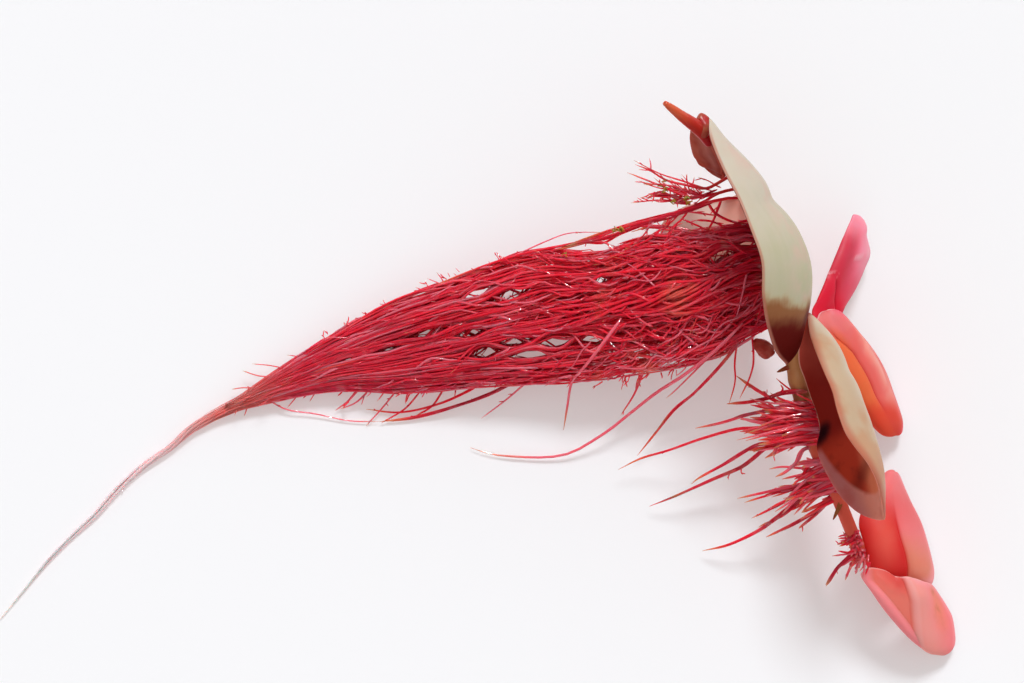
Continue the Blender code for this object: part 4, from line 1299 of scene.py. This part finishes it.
tuftRoots = [
    (1, 0.03, 0.11, 0.08, 0.2, [(17.6, 12.3, 7.7), (16.8, 12.3, 8.0), (15.7, 12.0, 8.6),
                                (14.9, 11.5, 8.4), (13.4, 10.9, 7.6), (10.2, 10.1, 6.4),
                                (6.5, 8.9, 4.8)]),
    (1, 0.03, 0.11, 0.05, 0.2, [(16.9, 13.3, 7.8), (16.2, 12.95, 8.2), (15.6, 12.6, 8.6),
                                (14.9, 12.35, 8.8), (13.6, 12.6, 9.0), (12.4, 12.9, 9.0),
                                (11.4, 13.5, 9.1), (10.4, 13.9, 9.1)]),
    (1, 0.05, 0.09, 0.05, 0.4, [(15.8, 12.1, 8.5), (14.6, 11.8, 8.8), (13.0, 12.2, 8.8),
                                (11.6, 12.7, 8.8), (9.9, 13.4, 8.6)]),
    (1, 0.05, 0.08, 0.03, 0.6, [(15.4, 12.2, 8.6), (13.6, 12.8, 9.0), (12.0, 13.3, 9.2),
                                (10.3, 14.2, 9.2)]),
    (3, 0.16, 0.08, 0.03, 0.5, [(14.6, 11.8, 8.6), (12.6, 12.5, 9.0), (10.7, 12.9, 8.8)]),
    (3, 0.16, 0.08, 0.03, 0.5, [(14.0, 11.3, 8.2), (12.2, 11.6, 8.4), (10.1, 11.4, 8.2)]),
    (3, 0.20, 0.08, 0.03, 0.7, [(13.6, 11.6, 8.4), (12.0, 12.0, 8.6), (10.6, 11.8, 8.4)]),
    (3, 0.30, 0.08, 0.04, 0.3, [(15.6, 12.2, 8.5), (14.2, 11.8, 8.8), (12.6, 12.5, 9.2),
                                (11.6, 13.0, 9.2)]),
    (1, 0.03, 0.08, 0.05, 0.6, [(13.2, 11.0, 7.8), (13.9, 10.85, 7.8), (14.9, 10.7, 7.8),
                                (15.8, 10.6, 7.8)]),
    (2, 0.15, 0.07, 0.04, 0.5, [(11.0, 9.9, 7.0), (12.9, 9.8, 7.2), (14.5, 9.5, 7.2),
                                (16.2, 9.5, 7.2)]),
    (1, 0.20, 0.07, 0.04, 0.6, [(13.4, 11.0, 7.8), (12.8, 10.2, 7.2), (11.2, 9.2, 6.2)]),
    (1, 0.10, 0.06, 0.03, 0.4, [(16.0, 12.4, 8.4), (15.0, 12.9, 8.6), (14.5, 13.1, 8.6)]),
]

middleRoots = [
    (2, 0.06, 0.16, 0.09, 0.1, [(21.6, -0.85, 6.9), (20.8, -0.85, 6.9), (19.9, -0.95, 6.7),
                                (18.9, -1.3, 6.4), (17.7, -1.55, 6.0), (16.4, -1.65, 5.6)]),
    (1, 0.0, 0.09, 0.03, 0.2, [(19.9, -0.95, 6.7), (20.0, -0.65, 7.0), (19.85, -0.4, 7.2)]),
    (1, 0.0, 0.09, 0.03, 0.3, [(19.1, -1.25, 6.6), (18.85, -0.95, 6.9), (18.7, -0.8, 7.0)]),
    (2, 0.08, 0.16, 0.08, 0.7, [(21.7, -1.6, 6.9), (20.8, -1.65, 6.8), (19.3, -2.0, 6.4),
                                (17.7, -2.35, 6.0), (16.0, -2.85, 5.2), (14.3, -3.2, 4.6)]),
    (2, 0.10, 0.15, 0.08, 0.2, [(21.8, -2.1, 6.9), (20.6, -2.2, 6.7), (18.9, -2.5, 6.4),
                                (17.9, -2.6, 6.1)]),
    (1, 0.05, 0.14, 0.07, 0.5, [(21.9, -2.9, 6.8), (18.3, -3.2, 6.0), (16.9, -3.3, 5.4),
                                (14.6, -3.95, 4.2), (12.5, -4.7, 2.8), (10.8, -5.2, 2.0),
                                (9.3, -5.95, 1.4)]),
    (2, 0.08, 0.15, 0.07, 0.6, [(21.5, -4.0, 6.0), (19.3, -4.2, 5.9), (18.1, -4.4, 5.4),
                                (16.3, -5.5, 4.6), (14.6, -6.5, 3.8), (14.1, -6.9, 3.4)]),
    (2, 0.06, 0.16, 0.06, 0.3, [(21.5, -4.1, 5.8), (19.1, -4.45, 5.4), (18.2, -5.1, 4.6),
                                (17.25, -5.8, 3.8), (15.6, -6.5, 2.8), (13.1, -7.6, 1.8),
                                (11.3, -8.3, 0.8)]),
    (1, 0.0, 0.07, 0.03, 0.6, [(17.3, -5.8, 3.8), (17.3, -6.1, 3.7), (17.4, -6.25, 3.6)]),
    (1, 0.0, 0.07, 0.03, 0.8, [(16.6, -6.1, 3.4), (16.45, -6.4, 3.3), (16.4, -6.5, 3.2)]),
    (2, 0.08, 0.12, 0.07, 0.8, [(20.6, -3.9, 6.2), (19.8, -4.3, 6.2), (19.4, -5.1, 6.0)]),
]

lowerRoots = [
    (2, 0.10, 0.13, 0.08, 0.8, [(22.4, -4.4, 6.2), (21.4, -4.6, 6.3), (20.95, -5.35, 6.3),
                                (20.2, -6.05, 6.0), (19.5, -6.4, 5.6)]),
    (2, 0.08, 0.12, 0.07, 0.6, [(22.4, -4.9, 6.2), (21.7, -5.6, 6.2), (21.1, -6.6, 6.0)]),
    (1, 0.03, 0.10, 0.05, 0.9, [(22.0, -5.9, 6.1), (20.2, -5.75, 5.7), (19.1, -5.9, 5.2)]),
    (2, 0.08, 0.14, 0.06, 0.6, [(22.5, -6.6, 6.0), (20.6, -7.0, 5.6), (19.1, -7.35, 5.0),
                                (17.1, -7.8, 4.0)]),
    (2, 0.10, 0.13, 0.06, 0.7, [(22.6, -6.9, 5.9), (20.1, -7.3, 5.2), (18.6, -7.7, 4.6),
                                (17.5, -8.1, 4.0)]),
    (2, 0.08, 0.15, 0.06, 0.4, [(22.7, -7.0, 5.9), (21.0, -7.5, 5.2), (19.6, -8.3, 4.4),
                                (17.95, -9.1, 3.4)]),
    (3, 0.12, 0.17, 0.06, 0.2, [(22.9, -7.3, 5.9), (21.2, -7.9, 5.2), (19.6, -9.05, 4.2),
                                (18.4, -9.9, 3.0), (16.5, -10.8, 1.8), (14.8, -11.2, 0.8)]),
    (2, 0.10, 0.15, 0.07, 0.6, [(23.1, -7.6, 5.8), (22.4, -8.4, 5.3), (21.2, -9.2, 4.6),
                                (18.9, -10.3, 3.0)]),
    (2, 0.08, 0.13, 0.06, 0.7, [(23.0, -7.9, 5.7), (22.1, -8.9, 5.0), (21.0, -9.8, 4.0)]),
]

endRoots = [
    (2, 0.06, 0.18, 0.09, 0.5, [(24.8, -11.0, 5.7), (24.2, -11.7, 5.3), (23.5, -12.4, 4.8),
                                (22.8, -13.5, 4.0)]),
    (2, 0.06, 0.14, 0.07, 0.7, [(24.9, -11.2, 5.6), (24.4, -12.25, 4.9), (24.1, -13.1, 4.2)]),
    (2, 0.06, 0.13, 0.07, 0.7, [(25.0, -11.4, 5.5), (24.85, -12.2, 4.8), (24.7, -12.7, 3.8)]),
    (2, 0.06, 0.12, 0.06, 0.5, [(24.6, -10.6, 5.8), (24.1, -10.6, 5.6), (23.55, -10.8, 5.2)]),
    (1, 0.04, 0.10, 0.05, 0.8, [(24.5, -10.2, 5.9), (23.95, -10.2, 5.8), (23.6, -10.3, 5.5)]),
]


def handStrands(drawn, rng, stations=26, tips=0.8):
    # each drawn root with its copies, which stray from it more towards their tips
    made = []
    t = np.linspace(0, 1, stations)
    for copies, stray, thick, thin, tint, points in drawn:
        line = Guide(points)
        for copy in range(copies):
            last = 1.0 if copy == 0 else 0.55 + 0.45 * rng.random()
            path = line.at(t * last)
            ways = rng.normal(size=(2, 3))
            turns = rng.random(2) * 6.3
            swing = np.sin(t[:, None] * np.array((3.1, 7.3)) + turns)
            amount = stray * (0.35 + t) * (0.35 if copy == 0 else 1.0)
            path = path + (swing @ ways) * amount[:, None] * 0.6 * mm
            radii = taper(1, stations, thick, thin, rng, 0.12, 0.25)
            shade = np.clip(tint + 0.25 * (rng.random() - 0.5), 0, 1)
            made.append(bundle(path[None], radii, shade, tips * rng.random() ** 0.4))
    return made


def brush(rng, count, origin, way, fan, length, drop=0.25, stations=9):
    # many roots from a stretch of the stem, spreading round one direction
    first, last = seen(origin[0]), seen(origin[1])
    base = first + (last - first) * rng.random((count, 1))
    base = base + rng.normal(size=(count, 3)) * 0.12 * mm
    go = unit(unit(np.array(way, float)) + rng.normal(size=(count, 3)) * np.array(fan))
    reach = (length[0] + (length[1] - length[0]) * rng.random((count, 1)) ** 1.6) * mm
    t = np.linspace(0, 1, stations)[None, :, None]
    paths = base[:, None] + (go * reach)[:, None] * t
    bend = rng.normal(size=(count, 3)) * 0.16
    bend[:, 2] -= drop
    return paths + (bend * reach)[:, None] * t ** 2


def rootCluster(name, node, drawn, brushes, side, look, seed, flecks=()):
    # side: how many short side roots, and their shortest and longest reach
    rng = np.random.default_rng(seed)
    strands = handStrands(drawn, rng)
    parents = np.concatenate([strand["paths"] for strand in strands])
    short = sprout(rng, parents, side[0], side[1:], first=0.10)
    strands.append(bundle(short, taper(side[0], short.shape[1], 0.05, 0.028, rng),
                          0.3 + 0.7 * rng.random(side[0]), rng.random(side[0]) ** 0.4))
    for count, origin, way, fan, length, thick in brushes:
        paths = brush(rng, count, origin, way, fan, length)
        radii = taper(count, paths.shape[1], thick, thick * 0.65, rng, 0.25)
        strands.append(bundle(paths, radii, rng.random(count) ** 0.8, rng.random(count)))
        few = count // 2
        short = sprout(rng, paths, few, (0.12, 0.5), first=0.2)
        strands.append(bundle(short, taper(few, short.shape[1], 0.055, 0.025, rng),
                              0.3 + 0.7 * rng.random(few), rng.random(few) ** 0.5))
    for centre, size in flecks:
        strands.append(fleck(rng, centre, size))
    finished(strandTubes(name, strands, sides=6), name, node, look)


def fleck(rng, centre, size, bits=5):
    # a scrap of olive weed caught in the roots: a few short fat curls
    base = seen(centre) + rng.normal(size=(bits, 3)) * size * 0.35 * mm
    go = unit(rng.normal(size=(bits, 3)) * np.array((1.0, 0.5, 0.4)))
    t = np.linspace(-0.5, 0.5, 7)[None, :, None]
    paths = base[:, None] + go[:, None] * size * mm * t
    paths = paths + rng.normal(size=(bits, 1, 3)) * size * 0.8 * mm * t ** 2
    swell = np.sin(np.linspace(0.25, math.pi - 0.25, 7))[None]
    radii = swell * size * (0.16 + 0.08 * rng.random((bits, 1))) * mm
    return bundle(paths, radii, 2.0, 0.0)


tuftFlecks = [
    ((12.3, 12.6, 8.9), 0.42), ((13.7, 11.8, 9.0), 0.36), ((12.9, 11.4, 8.8), 0.26),
    ((9.5, 9.75, 6.7), 0.40), ((9.0, 9.6, 6.5), 0.30), ((5.9, 8.1, 5.2), 0.22),
]


def makeOtherRoots(look):
    rootCluster("loose_roots", "root_bundle_main", looseRoots, [
        (18, ((8.4, 0.0, 3.9), (14.0, 0.8, 5.6)), (-0.45, -1, -0.1), (0.3, 0.2, 0.3),
         (0.35, 1.0), 0.05),
        (12, ((-9.0, -0.85, 1.1), (-1.0, -0.7, 1.9)), (-0.6, -1, -0.1), (0.3, 0.2, 0.3),
         (0.3, 0.9), 0.05),
        (10, ((-10.5, 2.2, 1.2), (-4.0, 5.6, 2.0)), (-0.6, 1, 0), (0.3, 0.25, 0.3),
         (0.25, 0.6), 0.035),
        (10, ((-4.0, 5.6, 2.0), (3.6, 8.4, 3.4)), (-0.6, 1, 0), (0.3, 0.25, 0.3),
         (0.25, 0.6), 0.035),
    ], (24, 0.12, 0.4), look, 21)
    rootCluster("top_tuft_roots", "root_bundle_main", topRoots + tuftRoots, [
        (44, ((15.0, 11.9, 8.3), (12.8, 11.9, 8.6)), (-1, 0.25, 0.05), (0.3, 0.6, 0.3),
         (0.5, 1.9), 0.05),
    ], (130, 0.15, 0.7), look, 22, tuftFlecks)
    rootCluster("middle_roots", "roots_middle", middleRoots, [
        (80, ((22.1, -2.0, 6.8), (22.6, -4.1, 6.5)), (-1, 0.0, -0.05), (0.06, 0.09, 0.12),
         (2.2, 4.6), 0.15),
        (30, ((22.0, -1.5, 6.9), (22.5, -4.3, 6.6)), (-1, -0.08, 0.06), (0.15, 0.20, 0.18),
         (1.8, 4.6), 0.09),
    ], (22, 0.12, 0.4), look, 23)
    rootCluster("lower_roots", "roots_lower", lowerRoots, [
        (46, ((22.8, -5.0, 6.5), (23.7, -7.5, 6.2)), (-1, -0.30, -0.12), (0.16, 0.18, 0.16),
         (1.0, 3.4), 0.13),
        (20, ((23.0, -6.2, 6.4), (23.8, -7.8, 6.0)), (-1, -0.45, -0.18), (0.12, 0.12, 0.13),
         (1.6, 4.2), 0.12),
    ], (18, 0.12, 0.4), look, 24)
    rootCluster("end_roots", "roots_end", endRoots, [
        (44, ((24.8, -9.9, 6.1), (25.3, -11.7, 5.8)), (-1, -0.5, -0.1), (0.4, 0.5, 0.3),
         (0.5, 1.5), 0.10),
        (16, ((25.0, -10.8, 6.2), (25.5, -11.8, 5.9)), (-0.6, -1.0, 0.0), (0.5, 0.4, 0.3),
         (0.5, 1.2), 0.09),
    ], (16, 0.1, 0.3), look, 25)


# Stem, young leaf and buds

stemShape = {
    "line": [
        (15.5, 16.3, 9.4), (15.85, 15.3, 8.8), (16.5, 14.2, 8.2), (17.8, 11.5, 7.0),
        (18.7, 9.3, 6.6), (19.4, 7.2, 6.4), (20.0, 5.1, 6.3), (20.4, 2.8, 6.3),
        (20.75, 0.9, 6.3), (21.2, -1.1, 6.2), (21.7, -3.0, 6.1), (22.4, -5.0, 6.0),
        (23.25, -6.9, 5.9), (24.05, -8.9, 5.8), (24.65, -10.4, 5.6), (24.95, -11.2, 5.4),
    ],
    "radii": [0.26, 0.38, 0.46, 0.48, 0.50, 0.55, 0.57, 0.52, 0.44, 0.42],
    "joints": [0.06, 0.16, 0.30, 0.46, 0.60, 0.74, 0.985],
    "jointSwell": 0.08,
    "stalks": [
        ((18.0, 11.3, 6.9), (18.3, 11.2, 7.9)), ((21.3, -1.0, 6.2), (21.9, -0.8, 6.6)),
        ((20.6, 2.0, 6.3), (22.4, 2.6, 5.6)), ((24.9, -11.1, 5.3), (25.8, -12.1, 4.6)),
        ((19.4, 7.7, 6.4), (18.9, 7.8, 5.3)), ((16.7, 13.8, 8.0), (16.1, 13.5, 7.3)),
    ],
    "stalkRadius": 0.30,
    "voxel": 0.055,
}

stemColours = {
    "tan": screen(178, 122, 76),
    "brown": screen(138, 70, 42),
    "red": screen(214, 88, 70),
    "joint": screen(150, 44, 34),
    "papery": screen(150, 88, 48),
}


def stemLook():
    c = stemColours
    look, wire = newLook(
        "stem", {"weight": 0.3, "colour": (1.0, 0.4, 0.25), "reach": 0.0005},
        Specular_IOR_Level=0.12,
    )
    place = wire.node("TexCoord", {}, {}, "Object")
    down = wire.node("SeparateXYZ", {}, {0: place}, 1)
    streak = spots(wire, 900.0, 3.0, stretch=(1.0, 0.22, 1.0))
    patch = spots(wire, 350.0, 2.0)
    grain = spots(wire, 3000.0, 2.0)
    colour = streak.step(0.35, 0.65).paint(c["brown"], c["tan"])
    colour = (down + (patch - 0.5) * 0.002).step(-0.0015, -0.0065).paint(c["red"], colour)
    colour = (patch.step(0.58, 0.75) * 0.6).paint(c["joint"], colour)
    return connect(look, colour, 0.30 + grain * 0.2, streak, 0.00004, 0.5)


def makeStem():
    s = stemShape
    line = Guide(s["line"])
    stations = 140
    t = np.linspace(0, 1, stations)
    radius = np.interp(t, np.linspace(0, 1, len(s["radii"])), s["radii"])
    for joint in s["joints"]:
        radius = radius + s["jointSwell"] * np.exp(-((t - joint) / 0.012) ** 2)
    path = line.at(t)
    path[:, 2] += 0.03 * mm * np.sin(t * 40)
    plain = {"tint": np.zeros(1), "tips": np.zeros(1)}
    strands = [{"paths": path[None], "radii": radius[None] * mm, **plain}]
    for near, far in s["stalks"]:
        ends = seen(np.array((near, far)))
        share = np.linspace(0, 1.1, 8)
        stalk = ends[0] + (ends[1] - ends[0]) * share[:, None]
        width = s["stalkRadius"] * (1 + 0.35 * (1 - share)) * mm
        strands.append({"paths": stalk[None], "radii": width[None], **plain})
    piece = strandTubes("plant_stem", strands, sides=20)
    applied(piece, "REMESH", mode="VOXEL", voxel_size=s["voxel"] * mm)
    applied(piece, "SMOOTH", factor=0.6, iterations=6)
    finished(piece, "plant_stem", "stem", stemLook())


dryScales = {
    "places": [((20.4, 0.75, 6.7), (19.6, 0.4, 6.8), 0.20),
               ((23.75, -8.1, 6.2), (23.25, -9.2, 6.2), 0.20)],
    "thickness": 0.06,
}


def scaleLook():
    c = stemColours
    look, wire = newLook("dry_scale", Specular_IOR_Level=0.1)
    patch = spots(wire, 1800.0, 3.0)
    grain = spots(wire, 5000.0, 2.0)
    colour = patch.step(0.35, 0.65).paint(c["papery"], c["joint"])
    return connect(look, colour, 0.5 + grain * 0.2, grain, 0.00002, 0.6)


def makeScales():
    # each scale is a small curled blade, broad at the stem and pointed at its end
    made = []
    for base, tip, width in dryScales["places"]:
        putDown()
        bpy.ops.mesh.primitive_grid_add(x_subdivisions=12, y_subdivisions=8, size=2)
        scale = bpy.context.object
        flat = readPlaces(scale)
        t, across = (flat[:, 0] + 1) / 2, flat[:, 1]
        first, last = seen(base), seen(tip)
        way = last - first
        side = unit(np.cross(way, np.array((0.2, 0.1, 1.0))))
        up = unit(np.cross(side, way))
        half = width * mm * (1 - t) ** 0.7 * (0.75 + 0.5 * t)
        curl = (across ** 2 * 0.5 * half) + np.sin(t * 2.4) * 0.10 * mm
        places = first + way * t[:, None] + side * (across * half)[:, None] + up * curl[:, None]
        writePlaces(scale, places)
        applied(scale, "SOLIDIFY", thickness=dryScales["thickness"] * mm, offset=0.0)
        applied(scale, "SUBSURF", levels=1, render_levels=1)
        made.append(scale)
    scales = joined(made)
    facesOut(scales)
    finished(scales, "dry_scales", "stem", scaleLook())


youngLeaf = {
    "line": [
        (15.3, 15.35, 9.4), (14.9, 15.9, 10.0), (14.35, 16.42, 10.7), (13.9, 16.75, 11.2),
        (13.4, 17.1, 11.7), (12.95, 17.45, 12.2), (12.3, 17.93, 12.8),
    ],
    "radii": [0.42, 0.46, 0.48, 0.48, 0.46, 0.42, 0.37, 0.32, 0.27, 0.17],
    "turns": 1.45,
    "thickness": 0.10,
}

youngColours = {
    "orange": screen(218, 92, 58),
    "red": screen(200, 50, 38),
    "deep": screen(172, 22, 30),
    "edge": screen(236, 150, 124),
}


def youngLook():
    c = youngColours
    look, wire = newLook("young_leaf", leafSoftness, Specular_IOR_Level=0.15)
    along, across = given(wire, "along"), given(wire, "across")
    streaks = wire.node("CombineXYZ", {}, {"X": along * 2.0, "Y": across * 16.0, "Z": 0.1})
    streak = spots(wire, 1.0, 3.0, 0.5, place=streaks)
    grain = spots(wire, 3000.0, 2.0)
    colour = (along + (streak - 0.5) * 0.25).step(0.45, 0.85).paint(c["orange"], c["red"])
    colour = (along + (streak - 0.5) * 0.15).step(0.40, 0.05).paint(c["deep"], colour)
    colour = (across.step(0.965, 0.99) * 0.7).paint(c["edge"], colour)
    return connect(look, colour, 0.26 + grain * 0.15, streak, 0.00003, 0.5)


def makeYoungLeaf():
    # a thin sheet rolled round itself, its free edge lying along the top
    y = youngLeaf
    line = Guide(y["line"])
    putDown()
    bpy.ops.mesh.primitive_grid_add(x_subdivisions=40, y_subdivisions=56, size=2)
    leaf = bpy.context.object
    flat = readPlaces(leaf)
    t, u = (flat[:, 0] + 1) / 2, (flat[:, 1] + 1) / 2
    centre = line.at(t)
    way = unit(line.at(np.minimum(t + 0.02, 1)) - line.at(np.maximum(t - 0.02, 0)))
    side = unit(np.cross(way, np.array((0.0, 0.0, 1.0))))
    up = np.cross(side, way)
    turn = u * y["turns"] * 2 * math.pi + 1.3 + 0.5 * t
    radius = np.interp(t, np.linspace(0, 1, len(y["radii"])), y["radii"])
    radius = radius * (0.72 + 0.28 * u) * mm
    places = centre + (side * np.cos(turn)[:, None] + up * np.sin(turn)[:, None]) * radius[:, None]
    writePlaces(leaf, places)
    writeNumbers(leaf, "along", t)
    writeNumbers(leaf, "across", u)
    applied(leaf, "SOLIDIFY", thickness=y["thickness"] * mm, offset=-1.0)
    applied(leaf, "SUBSURF", levels=1, render_levels=1)
    facesOut(leaf)
    finished(leaf, "rolled_young_leaf", "leaf_rolled_young", youngLook())


buds = {
    "tip_bud": {
        "centre": (14.88, 16.35, 10.3), "size": (0.50, 0.72, 0.55), "turn": -0.12,
        "pull": (-0.15, 0.20, 0.1), "wrinkle": 0.00004, "node": "bud_at_tip",
        "light": screen(158, 100, 66), "dark": screen(176, 38, 42),
    },
    "brown_bud": {
        "centre": (18.85, 1.85, 6.3), "size": (0.64, 0.54, 0.52), "turn": -0.5,
        "pull": (-0.30, 0.10, 0.0), "wrinkle": 0.00008, "node": "bud_withered",
        "light": screen(196, 110, 92), "dark": screen(168, 60, 48),
    },
}


def budLook(name, values):
    look, wire = newLook(
        name, {"weight": 0.2, "colour": (1.0, 0.5, 0.4), "reach": 0.0004},
        Specular_IOR_Level=0.15,
    )
    patch = spots(wire, 1100.0, 4.0, 0.6)
    grain = spots(wire, 4000.0, 2.0)
    colour = patch.step(0.40, 0.75).paint(values["light"], values["dark"])
    return connect(look, colour, 0.25 + grain * 0.25, patch, 0.00003, 0.5)


def makeBuds():
    wrinkles = bpy.data.textures.new("bud_wrinkles", "CLOUDS")
    wrinkles.noise_scale = 0.0004
    for name, values in buds.items():
        putDown()
        bpy.ops.mesh.primitive_ico_sphere_add(subdivisions=5, radius=mm)
        bud = bpy.context.object
        bpy.ops.object.mode_set(mode="EDIT")
        bpy.ops.mesh.select_all(action="DESELECT")
        bpy.ops.object.mode_set(mode="OBJECT")
        end = unit(np.array(values["pull"]))
        for vertex, place in zip(bud.data.vertices, readPlaces(bud)):
            vertex.select = float(place @ end) > 0.985 * mm
        bpy.ops.object.mode_set(mode="EDIT")
        bpy.ops.transform.translate(
            value=[v * mm * 1.6 for v in values["pull"]], use_proportional_edit=True,
            proportional_edit_falloff="SMOOTH", proportional_size=1.1 * mm,
        )
        bpy.ops.object.mode_set(mode="OBJECT")
        bpy.ops.transform.resize(value=values["size"])
        bud.rotation_euler = (0, 0, values["turn"])
        bud.location = seen(values["centre"])
        bpy.ops.object.transform_apply(location=True, rotation=True, scale=True)
        applied(bud, "DISPLACE", texture=wrinkles, texture_coords="LOCAL",
                strength=values["wrinkle"] * 2.5, mid_level=0.5)
        applied(bud, "SMOOTH", factor=0.5, iterations=2)
        finished(bud, name, values["node"], budLook(name, values))


setStage()
makeLeaves()
rootFinish = rootLook()
makeMainRoots(rootFinish)
makeOtherRoots(rootFinish)
makeStem()
makeScales()
makeYoungLeaf()
makeBuds()
